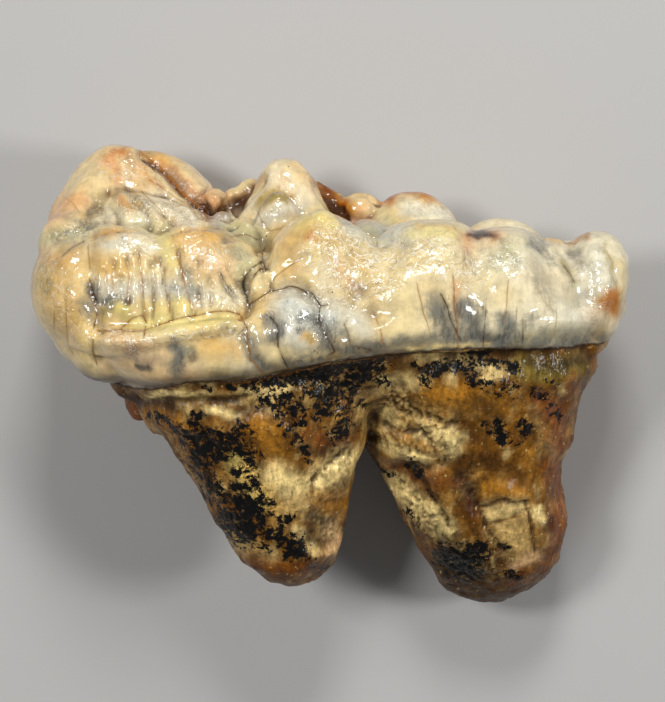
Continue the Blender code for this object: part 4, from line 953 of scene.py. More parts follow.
def crestTree(finish):
    # Round beads strung along a curve, as thick as the curve is at each point
    tree = bpy.data.node_groups.new("crest beads", "GeometryNodeTree")
    tree.interface.new_socket("Geometry", in_out="INPUT", socket_type="NodeSocketGeometry")
    spacing = tree.interface.new_socket("Spacing", in_out="INPUT", socket_type="NodeSocketFloat")
    spacing.default_value = 1.0
    thickness = tree.interface.new_socket("Thickness", in_out="INPUT", socket_type="NodeSocketFloat")
    thickness.default_value = 1.0
    tree.interface.new_socket("Geometry", in_out="OUTPUT", socket_type="NodeSocketGeometry")
    start = tree.nodes.new("NodeGroupInput")
    evened = tree.nodes.new("GeometryNodeResampleCurve")
    evened.mode = "LENGTH"
    bead = tree.nodes.new("GeometryNodeMeshIcoSphere")
    bead.inputs["Radius"].default_value = 1.0
    bead.inputs["Subdivisions"].default_value = toothForm["beadDetail"]
    radius = tree.nodes.new("GeometryNodeInputRadius")
    size = tree.nodes.new("ShaderNodeMath")
    size.operation = "MULTIPLY"
    strung = tree.nodes.new("GeometryNodeInstanceOnPoints")
    real = tree.nodes.new("GeometryNodeRealizeInstances")
    painted = tree.nodes.new("GeometryNodeSetMaterial")
    painted.inputs["Material"].default_value = finish
    end = tree.nodes.new("NodeGroupOutput")
    link = tree.links.new
    link(start.outputs["Geometry"], evened.inputs["Curve"])
    link(start.outputs["Spacing"], evened.inputs["Length"])
    link(radius.outputs["Radius"], size.inputs[0])
    link(start.outputs["Thickness"], size.inputs[1])
    link(evened.outputs["Curve"], strung.inputs["Points"])
    link(bead.outputs["Mesh"], strung.inputs["Instance"])
    link(size.outputs["Value"], strung.inputs["Scale"])
    link(strung.outputs["Instances"], real.inputs["Geometry"])
    link(real.outputs["Geometry"], painted.inputs["Geometry"])
    link(painted.outputs["Geometry"], end.inputs["Geometry"])
    return tree, {"spacing": spacing.identifier, "thickness": thickness.identifier}


def addCrests(bm, finish):
    tree, sockets = crestTree(finish)
    for name, stations in crests.items():
        curve = bpy.data.curves.new(name, "CURVE")
        curve.dimensions = "3D"
        path = smoothPath(stations, toothForm["crestSteps"])
        spline = curve.splines.new("POLY")
        spline.points.add(len(path) - 1)
        for point, station in zip(spline.points, path):
            point.co = (*station.xyz, 1)
            point.radius = station.w
        guide = newObject(name, curve)
        strung = guide.modifiers.new("crest beads", "NODES")
        strung.node_group = tree
        strung[sockets["spacing"]] = toothForm["beadSpacing"]
        strung[sockets["thickness"]] = 1.0
        mesh = bakedMesh(guide)
        bm.from_mesh(mesh)
        bpy.data.objects.remove(guide)
        bpy.data.meshes.remove(mesh)
        bpy.data.curves.remove(curve)


def growTooth(finish):
    bm = bmesh.new()
    addCrownWall(bm)
    for centre, radii in swellings.values():
        addSwelling(bm, centre, radii)
    for sections in (*cusps.values(), *roots.values()):
        addStack(bm, sections)
    addCrests(bm, finish)
    mesh = bpy.data.meshes.new("tooth")
    bm.to_mesh(mesh)
    bm.free()
    grown = newObject("grownTooth", mesh)
    skin = grown.modifiers.new("one skin", "REMESH")
    skin.mode = "VOXEL"
    skin.voxel_size = toothForm["voxel"]
    soften = grown.modifiers.new("soften", "SMOOTH")
    soften.iterations = toothForm["smoothSteps"]
    skinMesh = bakedMesh(grown)
    bpy.data.objects.remove(grown)
    return skinMesh


def readPoints(mesh):
    points = np.empty(len(mesh.vertices) * 3)
    mesh.vertices.foreach_get("co", points)
    normals = np.empty(len(mesh.vertices) * 3)
    mesh.vertices.foreach_get("normal", normals)
    return points.reshape(-1, 3), normals.reshape(-1, 3)


def writePoints(mesh, points):
    mesh.vertices.foreach_set("co", points.ravel())
    mesh.update()


def asSeen(points):
    # where each point shows in the picture, in pixels
    back = points @ (0, math.cos(picture["tilt"]), -math.sin(picture["tilt"]))
    up = points @ (0, math.sin(picture["tilt"]), math.cos(picture["tilt"]))
    scale = picture["pixelsPerMm"] * picture["distance"] / (picture["distance"] + back)
    x0, y0 = picture["toothOrigin"]
    return np.column_stack((x0 + points[:, 0] * scale, y0 - up * scale))


def distanceToLine(points, line):
    nearest = np.full(len(points), np.inf)
    for start, end in zip(line, line[1:]):
        start, step = np.array(start, float), np.subtract(end, start).astype(float)
        along = np.clip((points - start) @ step / (step @ step), 0, 1)
        gap = points - start - along[:, None] * step
        nearest = np.minimum(nearest, np.linalg.norm(gap, axis=1))
    return nearest


noiseCells = 4096  # a power of two
noiseFactors = (73856093, 19349663, 83492791)  # primes that scatter the cells
noiseShift = 17.31  # how far apart the places of two seeds lie
noiseGain = 1.6
octaveGain = 1 / 1.5
noiseGradients = np.random.default_rng(5).normal(size=(noiseCells, 3))
noiseGradients /= np.linalg.norm(noiseGradients, axis=1)[:, None]


def latticeNoise(points, size, seed):
    # smooth noise from about -1 to 1, whose lumps are about size mm; size may differ along u, v and w
    places = points / size + seed * noiseShift
    cell = np.floor(places).astype(np.int64)
    inside = places - cell
    ease = inside**3 * (inside * (inside * 6 - 15) + 10)
    total = np.zeros(len(points))
    for corner in np.ndindex(2, 2, 2):
        at = cell + corner
        scattered = at * noiseFactors
        index = (scattered[:, 0] ^ scattered[:, 1] ^ scattered[:, 2]) & (noiseCells - 1)
        weight = np.prod(np.where(corner, ease, 1 - ease), axis=1)
        total += weight * (noiseGradients[index] * (inside - corner)).sum(axis=1)
    return total * noiseGain


def fractalNoise(points, size, seed, octaves=3):
    total = np.zeros(len(points))
    for octave in range(octaves):
        total += latticeNoise(points, np.array(size) / 2**octave, seed + octave) / 2**octave
    return total * octaveGain


def ridgedNoise(points, size, seed):
    return 1 - np.abs(latticeNoise(points, np.array(size), seed)) * 2


def towardsPicture(normals, limit):
    # 1 where the picture shows the surface, falling to 0 at its edge
    back = (0, -math.cos(picture["tilt"]), math.sin(picture["tilt"]))
    return 1 - fade(normals @ back / limit)


def chipRoots(points):
    for centre, direction, reach, depth in chips.values():
        direction = np.array(direction) / np.linalg.norm(direction)
        share = np.linalg.norm(points - centre, axis=1) / reach
        height = points @ direction
        plane = height[share < 1].max() - depth
        core = toothForm["chipCore"]
        excess = np.maximum(height - plane, 0) * fade((share - core) / (1 - core))
        points -= np.outer(excess, direction)


def wallShare(points, line):
    # marks on the tongue wall stay off the cusps behind it
    low = max(row for _, row in line) > picture["crestRow"]
    return fade((points[:, 1] - toothForm["wallEdge"]) / toothForm["wallFade"]) if low else 1.0


def markShare(points, seen, line, reach):
    # 1 on a line of the picture, falling to 0 at reach pixels from it
    return fade(distanceToLine(seen, line) / reach) * wallShare(points, line)


def neckGap(points, seen):
    # height above the end of the enamel in mm, from the picture on the side that it shows
    xs, ys = zip(*neckLine)
    shown = (np.interp(seen[:, 0], xs, ys) - seen[:, 1]) / picture["pixelsPerMm"]
    hidden = points[:, 2] - neckHeight(points[:, 0])
    share = fade((points[:, 1] - toothForm["neckSeen"]) / toothForm["neckBlend"])
    return shown * share + hidden * (1 - share)


# Relief of the skin in mm. Noises are depth, size and seed.
relief = {
    "turnedAway": 0.4,
    "wander": 1.6,
    "wanderSize": 1.2,
    "neckWaver": (0.15, 0.8, 21),
    "neckSoftness": 0.3,
    "lipDepth": 0.05,
    "lipReach": 1.8,
    "enamelSwell": (0.07, 2.6, 31),
    "crinkleRidge": (0.07, (0.75, 0.75, 1.0), 41),
    "crinkleLevel": 0.028,
    "crinkleGrain": (0.035, 0.42, 43),
    "rootSwell": (0.24, (1.9, 1.9, 3.6), 51),
    "rootFibre": (0.05, (0.7, 0.7, 3.2), 61),
    "rootGrit": (0.05, (0.6, 0.6, 1.0), 71),
    "flakeLeast": 0.08,
    "flakeStep": 0.34,
    "flakeRidge": (0.12, (0.9, 0.9, 0.7), 75),
    "flakeSlab": (2.6, (2.0, 2.0, 1.3), 73),
    "flakeRagged": (0.8, 0.8, 77),
}


def wanderOf(points, size, seeds, octaves):
    # how far marks stray from their lines at each point, across and down the picture
    return np.column_stack([fractalNoise(points, size, seed, octaves) for seed in seeds])


def sculpt(mesh):
    points, normals = readPoints(mesh)
    chipRoots(points)
    seen = asSeen(points)
    facing = towardsPicture(normals, relief["turnedAway"])
    wander = relief["wander"] * wanderOf(points, relief["wanderSize"], (3, 9), 2)
    scale = picture["pixelsPerMm"]

    def rough(kind, name, *octaves):
        most, size, seed = relief[name]
        return most * kind(points, size, seed, *octaves)

    depth = np.zeros(len(points))
    for line, halfWidth, most in grooves.values():
        depth += most * facing * markShare(points, seen + wander, line, 2 * halfWidth * scale)
    for line in pleats["paths"]:
        reach = 2 * pleats["halfWidth"] * scale
        depth += pleats["depth"] * facing * markShare(points, seen + wander * pleats["wander"], line, reach)
    for line, halfWidth, most in folds.values():
        depth -= most * facing * markShare(points, seen + wander, line, 2 * halfWidth * scale)
    gap = neckGap(points, seen)
    root = fade(0.5 + (gap + rough(fractalNoise, "neckWaver")) / relief["neckSoftness"])
    depth += relief["lipDepth"] * root * fade(-gap / relief["lipReach"])
    enamel = 1 - root
    depth -= enamel * rough(fractalNoise, "enamelSwell")
    crinkle = enamel * crinkleShare(points, seen, facing)
    depth += crinkle * (rough(ridgedNoise, "crinkleRidge") - relief["crinkleLevel"])
    depth -= crinkle * rough(latticeNoise, "crinkleGrain")
    depth -= root * rough(fractalNoise, "rootSwell")
    depth += root * rough(ridgedNoise, "rootFibre")
    depth -= root * rough(fractalNoise, "rootGrit", 2)
    flakes = root * np.maximum(flakedShare(points, seen + wander) * facing, relief["flakeLeast"])
    depth += flakes * relief["flakeStep"] * (0.5 - flakeHeight(points))
    depth += flakes * rough(ridgedNoise, "flakeRidge")
    points -= normals * depth[:, None]
    writePoints(mesh, points)


def flakedShare(points, seen):
    share = np.zeros(len(points))
    for line, halfWidth, strength in flaked:
        share = np.maximum(share, strength * fade(distanceToLine(seen, line) / (2 * halfWidth)))
    return share


def flakeHeight(points):
    # steps that rise slowly and break off sharply, from 0 to 1
    steps, size, seed = relief["flakeSlab"]
    slab = latticeNoise(points, np.array(size), seed) * steps
    raggedness, size, seed = relief["flakeRagged"]
    slab += fractalNoise(points, size, seed, 2) * raggedness
    return slab - np.floor(slab)


# Marks on the sides that the picture doesn't show: crinkles as most, size, seed and level of their noise,
# and the rest as size, seed, gain, level and most
hiddenMarks = {
    "crinkle": (0.35, 5.0, 81, 0.3),
    "black": ((4.0, 4.0, 5.5), 121, 1.3, -0.1, 0.9),
    "smoke": ((2.0, 2.0, 3.0), 123, 1.0, 0.25, 0.9),
}


def patchy(points, size, seed, gain, level, most=1.0):
    # soft patches at random, from 0 to most
    return np.clip(fractalNoise(points, size, seed) * gain + level, 0, most)


def crinkleShare(points, seen, facing):
    share = np.zeros(len(points))
    for line, halfWidth, strength in crinkles:
        share = np.maximum(share, strength * facing * markShare(points, seen, line, 2 * halfWidth))
    most, size, seed, level = hiddenMarks["crinkle"]
    hidden = most * np.clip(latticeNoise(points, size, seed) + level, 0, 1) * (1 - facing)
    return np.maximum(share, hidden)


def neighbourAverage(edges, counts, values):
    total = np.zeros_like(values)
    for k in range(values.shape[1]):
        total[:, k] += np.bincount(edges[:, 0], values[edges[:, 1], k], len(values))
        total[:, k] += np.bincount(edges[:, 1], values[edges[:, 0], k], len(values))
    return total / counts[:, None]


def crevices(mesh, steps):
    # how deep each point lies below the surface around it, in mm
    points, normals = readPoints(mesh)
    edges = np.empty(len(mesh.edges) * 2, dtype=np.int32)
    mesh.edges.foreach_get("vertices", edges)
    edges = edges.reshape(-1, 2)
    counts = np.bincount(edges.ravel(), minlength=len(points)).astype(float)
    smoothed = points.copy()
    for _ in range(steps):
        smoothed = neighbourAverage(edges, counts, smoothed)
    return ((smoothed - points) * normals).sum(axis=1)


def linear(colour):
    # a colour of 0 to 255 as the shader wants it
    share = np.array(colour) / 255
    return np.where(share < 0.04045, share / 12.92, ((share + 0.055) / 1.055) ** 2.4)


def mixIn(paint, colour, share):
    return paint + (linear(palette[colour]) - paint) * np.clip(share, 0, 1)[:, None]


def stain(paint, marks, points, seen, facing):
    for colour, strength, halfWidth, line in marks:
        paint = mixIn(paint, colour, strength * facing * markShare(points, seen, line, 2 * halfWidth))
    return paint


def mottle(paint, patches, points):
    for colour, most, *noise in patches:
        paint = mixIn(paint, colour, most * patchy(points, *noise))
    return paint


def paintedHollowShade(hollow, depth, level, most):
    # painted shade: darker colour in what lies deeper than the surface around it
    return np.clip(hollow / depth - level, 0, most)


# Washes over the mottling, among them painted shade at the neck and in hollows: places and reaches in mm,
# and how strong each colour is
wash = {
    "highFrom": 6.0,
    "highOver": 6.0,
    "lowOver": 4.5,
    "heelFrom": 4.0,
    "heelOver": 10.0,
    "heelIvory": 0.6,
    "awayPeach": 0.6,
    "awayOrange": 0.5,
    "awayUmber": 0.4,
    "awayPatches": (3.0, 107),
    "neckShadeReach": 1.2,
    "neckShadePatches": ((1.6, 1.6, 1.0), 109, 1.0, 0.9),
    "neckShadeUmber": 0.9,
    "valleyFrom": 7.0,
    "valleyOver": 2.0,
    "valleyEdge": 1.5,
    "valleyHollowShade": (0.22, 0.25, 0.9),
    "enamelHollowShade": (0.3, 0.2, 0.6),
    "stubEnd": -9.5,
    "stubEdge": 1.0,
    "stubOver": 2.0,
    "stubRust": 0.8,
    "tipFrom": -19.0,
    "tipOver": 6.0,
    "tipUmber": 0.7,
    "rootHollowShade": (0.16, 0.1, 0.85),
}


def paintEnamel(points, seen, facing, hollow, gap):
    u, v, w = points.T
    away = 1 - facing
    high = np.clip((w - wash["highFrom"]) / wash["highOver"], 0, 1)
    low = fade((w - neckHeight(u)) / wash["lowOver"])
    heel = np.clip((u - wash["heelFrom"]) / wash["heelOver"], 0, 1)
    paint = np.tile(linear(palette["cream"]), (len(points), 1))
    paint = mottle(paint, enamelMottle, points)
    paint = mixIn(paint, "ivory", wash["heelIvory"] * heel * facing)
    paint = mixIn(paint, "peach", wash["awayPeach"] * away * high)
    patches = np.clip(latticeNoise(points, *wash["awayPatches"]), 0, 1)
    paint = mixIn(paint, "burntOrange", wash["awayOrange"] * away * high * patches)
    paint = mixIn(paint, "umber", wash["awayUmber"] * away * low**3)
    # painted shade in umber on the enamel just above the neck, where it turns in, broken into patches
    neckShade = fade(np.maximum(gap, 0) / wash["neckShadeReach"]) * patchy(points, *wash["neckShadePatches"])
    paint = mixIn(paint, "umber", wash["neckShadeUmber"] * neckShade * facing)
    paint = stain(paint, enamelStains, points, seen, facing)
    valley = np.clip((w - wash["valleyFrom"]) / wash["valleyOver"], 0, 1) * (v > wash["valleyEdge"])
    # painted shade in the hollows: rust in those of the valley, then umber in all hollows of the enamel
    paint = mixIn(paint, "rust", paintedHollowShade(hollow, *wash["valleyHollowShade"]) * valley)
    return mixIn(paint, "umber", paintedHollowShade(hollow, *wash["enamelHollowShade"]))


def paintRoots(points, seen, facing, hollow):
    u, v, w = points.T
    paint = np.tile(linear(palette["gold"]), (len(points), 1))
    paint = mottle(paint, rootMottle, points)
    brokenOff = fade((u - wash["stubEnd"]) / wash["stubOver"] + 1)
    stub = brokenOff * fade(1 - (v - wash["stubEdge"]) / wash["stubOver"])
    paint = mixIn(paint, "rust", wash["stubRust"] * stub)
    paint = stain(paint, rootStains, points, seen, facing)
    flakes = flakedShare(points, seen) * facing
    height = flakeHeight(points)
    # painted highlight on the raised edges of the flakes and painted shade at their feet
    for colour, strength, gain, level in flakeLightAndShade:
        paint = mixIn(paint, colour, strength * flakes * np.clip(height * gain + level, 0, 1))
    paint = mixIn(paint, "umber", wash["tipUmber"] * fade((w - wash["tipFrom"]) / wash["tipOver"]))
    # painted shade in umber in the hollows of the roots
    return mixIn(paint, "umber", paintedHollowShade(hollow, *wash["rootHollowShade"]))


# Black and grey mineral: reaches in half widths of a mark, and fades in mm
mineral = {
    "blackReach": 2.2,
    "blackCore": 0.12,
    "blackMost": 0.86,
    "neckFade": 0.3,
    "smokeReach": 2.4,
    "smokeRise": 3.5,
}


def blackShare(points, seen, facing, gap):
    share = np.zeros(len(points))
    for strength, halfWidth, line in blackPatches:
        gone = distanceToLine(seen, line) / (mineral["blackReach"] * halfWidth) - mineral["blackCore"]
        share = np.maximum(share, strength * fade(gone) * facing)
    root = 1 - fade(-gap / mineral["neckFade"])
    hidden = patchy(points, *hiddenMarks["black"]) * (1 - facing)
    return np.maximum(share, hidden) * root * mineral["blackMost"]


def smokeShare(points, seen, facing):
    share = np.zeros(len(points))
    for strength, halfWidth, line in smoke:
        patch = strength * facing * markShare(points, seen, line, mineral["smokeReach"] * halfWidth)
        share = np.maximum(share, patch)
    low = fade((points[:, 2] - neckHeight(points[:, 0])) / mineral["smokeRise"])
    return np.maximum(share, patchy(points, *hiddenMarks["smoke"]) * low * (1 - facing))


# Fields of the cracks, in pixels of the picture. Hairlines show less than bold cracks.
crackLook = {
    "reach": 7.0,
    "apart": 2.2,
    "outside": 9.0,
    "endFade": 2.5,
    "hairline": 0.3,
    "bold": 0.7,
    "faintest": 0.25,
}


def crackFields(points, seen, facing):
    # Signed distance to the nearest crack in its own half widths, how much it shows, and its darkness.
    # Cracks that come near each other are kept in different layers, so that each reads cleanly.
    reach = crackLook["reach"]
    layers = []
    for halfWidth, darkness, line in cracks:
        path = np.array(line, float)
        for layer in layers:
            apart = min(distanceToLine(path, other).min() for other in layer["lines"])
            if apart > crackLook["apart"] * reach:
                break
        else:
            layer = {
                "lines": [],
                "signed": np.full(len(points), crackLook["outside"]),
                "nearest": np.full(len(points), np.inf),
                "shows": np.zeros(len(points)),
                "dark": np.zeros(len(points)),
            }
            layers.append(layer)
        layer["lines"].append(line)
        faint = min(1, max(crackLook["faintest"], (halfWidth - crackLook["hairline"]) / crackLook["bold"]))
        seenShare = facing * wallShare(points, line) * faint
        for k, (start, end) in enumerate(zip(path, path[1:])):
            step = end - start
            length = np.linalg.norm(step)
            raw = (seen - start) @ step / (step @ step)
            gap = seen - start - np.clip(raw, 0, 1)[:, None] * step
            distance = np.linalg.norm(gap, axis=1)
            closer = (distance < layer["nearest"]) & (distance < reach)
            side = np.sign(step[0] * (seen[:, 1] - start[1]) - step[1] * (seen[:, 0] - start[0]))
            past = np.zeros(len(points))
            if k == 0:
                past = np.maximum(past, -raw * length)
            if k == len(path) - 2:
                past = np.maximum(past, (raw - 1) * length)
            shows = fade(distance / reach * 2 - 1) * fade(past / crackLook["endFade"]) * seenShare
            layer["nearest"][closer] = distance[closer]
            layer["signed"][closer] = (side * distance / (halfWidth * toothLook["crackWidth"]))[closer]
            layer["shows"][closer] = shows[closer]
            layer["dark"][closer] = darkness
    return [np.column_stack((each["signed"], each["shows"], each["dark"])) for each in layers]


def storeField(mesh, name, values):
    if values.ndim == 1:
        mesh.attributes.new(name, "FLOAT", "POINT").data.foreach_set("value", values.astype(np.float32))
    elif name.endswith("Paint"):
        rgba = np.column_stack((values, np.ones(len(values)))).astype(np.float32)
        mesh.attributes.new(name, "FLOAT_COLOR", "POINT").data.foreach_set("color", rgba.ravel())
    else:
        flat = values.astype(np.float32).ravel()
        mesh.attributes.new(name, "FLOAT_VECTOR", "POINT").data.foreach_set("vector", flat)


# How far painted marks stray: pixels, size in mm, and the share for mineral and cracks
strays = {
    "turnedAway": 0.12,
    "reach": 5.0,
    "size": 0.9,
    "mineral": 0.6,
    "cracks": 0.12,
    "hollowSteps": 11,
}


def paintTooth(mesh):
    points, normals = readPoints(mesh)
    seen = asSeen(points)
    facing = towardsPicture(normals, strays["turnedAway"])
    wander = strays["reach"] * wanderOf(points, strays["size"], (131, 137), 3)
    stray = seen + wander
    hollow = crevices(mesh, strays["hollowSteps"])
    gap = neckGap(points, seen)
    storeField(mesh, "enamelPaint", paintEnamel(points, stray, facing, hollow, gap))
    storeField(mesh, "rootPaint", paintRoots(points, stray, facing, hollow))
    storeField(mesh, "neckGap", gap)
    mineralSeen = seen + wander * strays["mineral"]
    storeField(mesh, "black", blackShare(points, mineralSeen, facing, gap))
    storeField(mesh, "smoke", smokeShare(points, mineralSeen, facing))
    storeField(mesh, "crinkle", crinkleShare(points, seen, facing))
    layers = crackFields(points, seen + wander * strays["cracks"], facing)
    for number, layer in enumerate(layers):
        storeField(mesh, f"cracks{number}", layer)
    return len(layers)


def restTurn():
    up = -Vector(toothForm["restDown"]).normalized()
    along = Vector((1, 0, 0))
    along = (along - along.dot(up) * up).normalized()
    return Matrix((along, up.cross(along), up)).to_4x4()


def layDown(mesh):
    # wears the flats that it rests on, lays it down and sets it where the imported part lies
    turn = restTurn()
    bm = bmesh.new()
    bm.from_mesh(mesh)
    bm.transform(turn)
    lowest = min(vert.co.z for vert in bm.verts) + toothForm["flatDepth"]
    bmesh.ops.bisect_plane(
        bm, geom=bm.verts[:] + bm.edges[:] + bm.faces[:], dist=toothForm["cutTolerance"],
        plane_co=(0, 0, lowest), plane_no=(0, 0, -1), clear_outer=True,
    )
    rims = [edge for edge in bm.edges if edge.is_boundary]
    bmesh.ops.holes_fill(bm, edges=rims, sides=0)
    bmesh.ops.recalc_face_normals(bm, faces=bm.faces[:])
    low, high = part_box("tooth")
    middle = (low + high) / 2
    xs = [vert.co.x for vert in bm.verts]
    ys = [vert.co.y for vert in bm.verts]
    shift = Vector((
        middle.x / millimetre - (min(xs) + max(xs)) / 2,
        middle.y / millimetre - (min(ys) + max(ys)) / 2,
        low.z / millimetre - lowest,
    ))
    place = Matrix.Scale(millimetre, 4) @ Matrix.Translation(shift)
    bm.transform(place)
    bm.to_mesh(mesh)
    bm.free()
    return place @ turn


def addNode(tree, kind, sockets=(), **settings):
    node = tree.nodes.new(kind)
    for name, value in settings.items():
        setattr(node, name, value)
    for key, value in dict(sockets).items():
        if isinstance(value, bpy.types.NodeSocket):
            tree.links.new(value, node.inputs[key])
        else:
            node.inputs[key].default_value = value
    return node


def calc(tree, operation, a, b=0.0, clamp=False):
    return addNode(tree, "ShaderNodeMath", {0: a, 1: b}, operation=operation, use_clamp=clamp).outputs[0]


def ramp(tree, value, low, high, start=0.0, end=1.0):
    sockets = {"Value": value, "From Min": low, "From Max": high, "To Min": start, "To Max": end}
    return addNode(tree, "ShaderNodeMapRange", sockets, interpolation_type="SMOOTHSTEP").outputs[0]


def mixColour(tree, share, a, b, blend="MIX"):
    node = addNode(tree, "ShaderNodeMix", {0: share, 6: a, 7: b}, data_type="RGBA", blend_type=blend)
    return node.outputs[2]


def noiseAt(tree, place, scale, detail=4.0, roughness=0.55, distortion=0.0):
    sockets = {"Vector": place, "Scale": scale, "Detail": detail, "Roughness": roughness,
               "Distortion": distortion}
    return addNode(tree, "ShaderNodeTexNoise", sockets).outputs[0]


def field(tree, name, output="Fac"):
    return addNode(tree, "ShaderNodeAttribute", attribute_name=name).outputs[output]


def shade(colour):
    return (*linear(palette[colour]), 1.0)


# Noises of the finish: scale per mm, detail, roughness and distortion
finishNoises = {
    "cloud": (1.3, 8, 0.65),
    "streak": (1.7, 5, 0.6),
    "freckle": (2.6, 6, 0.7, 0.6),
    "curl": (0.9, 7, 0.65, 0.5),
    "vein": (3.0, 7, 0.7, 0.5),
    "thread": (0.95, 3, 0.5, 1.6),
    "fibre": (3.4, 6, 0.65),
    "shadow": (0.7, 8, 0.75, 0.8),
    "blotch": (1.6, 8, 0.75),
    "fleck": (2.2, 7, 0.75),
    "growth": (1.9, 9, 0.78, 0.4),
    "ragged": (1.5, 6, 0.7),
    "broken": (1.6, 6, 0.7),
    "longGrit": (2.4, 2, 0.5),
    "roundGrit": (1.7, 3, 0.6),
}

# Ramps of the finish: from, to, and what they give there
finishRamps = {
    "cloud": (0.3, 0.7, 0.86, 1.1),
    "streak": (0.35, 0.7, 1.04, 0.9),
    "freckle": (0.62, 0.74, 0.0, 0.4),
    "curl": (0.3, 0.7, 0.0, 0.75),
    "haze": (-0.4, 0.6, 0.0, 0.72),
    "vein": (0.38, 0.6),
    "soot": (0.05, 0.6, 0.0, 0.38),
    "speck": (0.06, 0.035, 0.0, 0.8),
    "fibre": (0.32, 0.68, 0.74, 1.3),
    "shadow": (0.36, 0.64, 0.62, 1.3),
    "blotch": (0.57, 0.66, 0.0, 0.55),
    "fleck": (0.6, 0.66, 0.0, 0.5),
    "growth": (0.34, 0.66),
    "black": (-0.03, 0.05),
    "neck": (0.06, -0.06),
    "seam": (0.02, 0.16, 0.85, 0.0),
    "crackCore": (1.5, 0.3, 0.0, 0.8),
    "crackHalo": (5.0, 0.5, 0.0, 0.35),
}

# Painted threads on the crinkled glaze, white ones of painted highlight and rust ones of painted shade:
# colour, level of the noise that they follow, ramp away from it
paintedHighlightAndShadeThreads = (
    ("paintedHighlight", 0.52, (0.022, 0.008, 0.0, 0.7)),
    ("rust", 0.44, (0.014, 0.003, 0.0, 0.45)),
)


def rampAt(tree, place, name):
    return ramp(tree, noiseAt(tree, place, *finishNoises[name]), *finishRamps[name])


def spread(tree, place, name, middle, gain):
    # a noise around its middle, made larger
    around = calc(tree, "SUBTRACT", noiseAt(tree, place, *finishNoises[name]), middle)
    return calc(tree, "MULTIPLY", around, gain)


def mapped(tree, where, scale):
    return addNode(tree, "ShaderNodeMapping", {"Vector": where, "Scale": scale}).outputs[0]


def enamelFinish(tree, inMm, grain, wrinkled):
    # fine cloudy variation, faint streaks down the crown, grey clouds, specks, and threads of painted
    # highlight and painted shade on the crinkled glaze
    enamel = field(tree, "enamelPaint", "Color")
    enamel = mixColour(tree, 1.0, enamel, rampAt(tree, inMm, "cloud"), "MULTIPLY")
    enamel = mixColour(tree, 1.0, enamel, rampAt(tree, grain, "streak"), "MULTIPLY")
    enamel = mixColour(tree, rampAt(tree, inMm, "freckle"), enamel, shade("ochre"))
    haze = calc(tree, "SUBTRACT", field(tree, "smoke"), rampAt(tree, inMm, "curl"))
    enamel = mixColour(tree, ramp(tree, haze, *finishRamps["haze"]), enamel, shade("slate"))
    soot = calc(tree, "SUBTRACT", field(tree, "smoke"), rampAt(tree, grain, "vein"))
    enamel = mixColour(tree, ramp(tree, soot, *finishRamps["soot"]), enamel, shade("umber"))
    cells = {"Vector": inMm, "Scale": toothLook["speckScale"]}
    speck = addNode(tree, "ShaderNodeTexVoronoi", cells).outputs["Distance"]
    enamel = mixColour(tree, ramp(tree, speck, *finishRamps["speck"]), enamel, shade("umber"))
    curls = noiseAt(tree, inMm, *finishNoises["thread"])
    # threads of painted highlight and painted shade where the curl noise crosses a level, in the crinkled
    # places
    for colour, level, limits in paintedHighlightAndShadeThreads:
        away = calc(tree, "ABSOLUTE", calc(tree, "SUBTRACT", curls, level))
        share = calc(tree, "MULTIPLY", ramp(tree, away, *limits), wrinkled)
        enamel = mixColour(tree, share, enamel, shade(colour))
    return enamel


def boneFinish(tree, inMm, grain):
    # fibres down the roots, brown blotches, pale flecks and black mineral with branching edges
    bone = field(tree, "rootPaint", "Color")
    bone = mixColour(tree, 1.0, bone, rampAt(tree, grain, "fibre"), "MULTIPLY")
    bone = mixColour(tree, 1.0, bone, rampAt(tree, inMm, "shadow"), "MULTIPLY")
    bone = mixColour(tree, rampAt(tree, inMm, "blotch"), bone, shade("umber"))
    bone = mixColour(tree, rampAt(tree, inMm, "fleck"), bone, shade("bone"))
    density = calc(tree, "SUBTRACT", field(tree, "black"), rampAt(tree, inMm, "growth"))
    return mixColour(tree, ramp(tree, density, *finishRamps["black"]), bone, shade("dark"))


def crackFinish(tree, colour, inMm, layerCount):
    # cracks, filled from rust to black
    broken = spread(tree, inMm, "broken", 0.46, 5.0)
    for number in range(layerCount):
        parts = addNode(tree, "ShaderNodeSeparateXYZ", {0: field(tree, f"cracks{number}", "Vector")}).outputs
        away = calc(tree, "ADD", calc(tree, "ABSOLUTE", parts[0]), broken)
        core = calc(tree, "MULTIPLY", ramp(tree, away, *finishRamps["crackCore"]), parts[1])
        halo = calc(tree, "MULTIPLY", ramp(tree, away, *finishRamps["crackHalo"]), parts[1])
        filled = mixColour(tree, parts[2], shade("burntOrange"), shade("dark"))
        soaked = mixColour(tree, parts[2], shade("amber"), shade("umber"))
        colour = mixColour(tree, halo, colour, soaked)
        colour = mixColour(tree, core, colour, filled)
    return colour


def reliefOf(tree, inMm, grain, wrinkled, rootShare):
    # fine relief in mm: crinkled glaze on the enamel, fibres and grit on the roots
    glaze = addNode(
        tree, "ShaderNodeTexNoise",
        {"Vector": inMm, "Scale": 1.5, "Detail": 2.0, "Roughness": 0.5, "Distortion": 1.2},
        noise_type="RIDGED_MULTIFRACTAL",
    ).outputs[0]
    glazeShare = calc(tree, "ADD", wrinkled, toothLook["crinkleLeast"])
    glazeShare = calc(tree, "MULTIPLY", glazeShare, toothLook["crinkleHeight"])
    glazeHeight = calc(tree, "MULTIPLY", glaze, glazeShare)
    longGrit = noiseAt(tree, grain, *finishNoises["longGrit"])
    roundGrit = noiseAt(tree, inMm, *finishNoises["roundGrit"])
    gritHeight = calc(tree, "MULTIPLY", calc(tree, "ADD", longGrit, roundGrit), toothLook["rootHeight"])
    height = addNode(tree, "ShaderNodeMix", {0: rootShare, 2: glazeHeight, 3: gritHeight}).outputs[0]
    bump = {"Height": height, "Distance": millimetre, "Strength": 1.0}
    return addNode(tree, "ShaderNodeBump", bump).outputs[0]


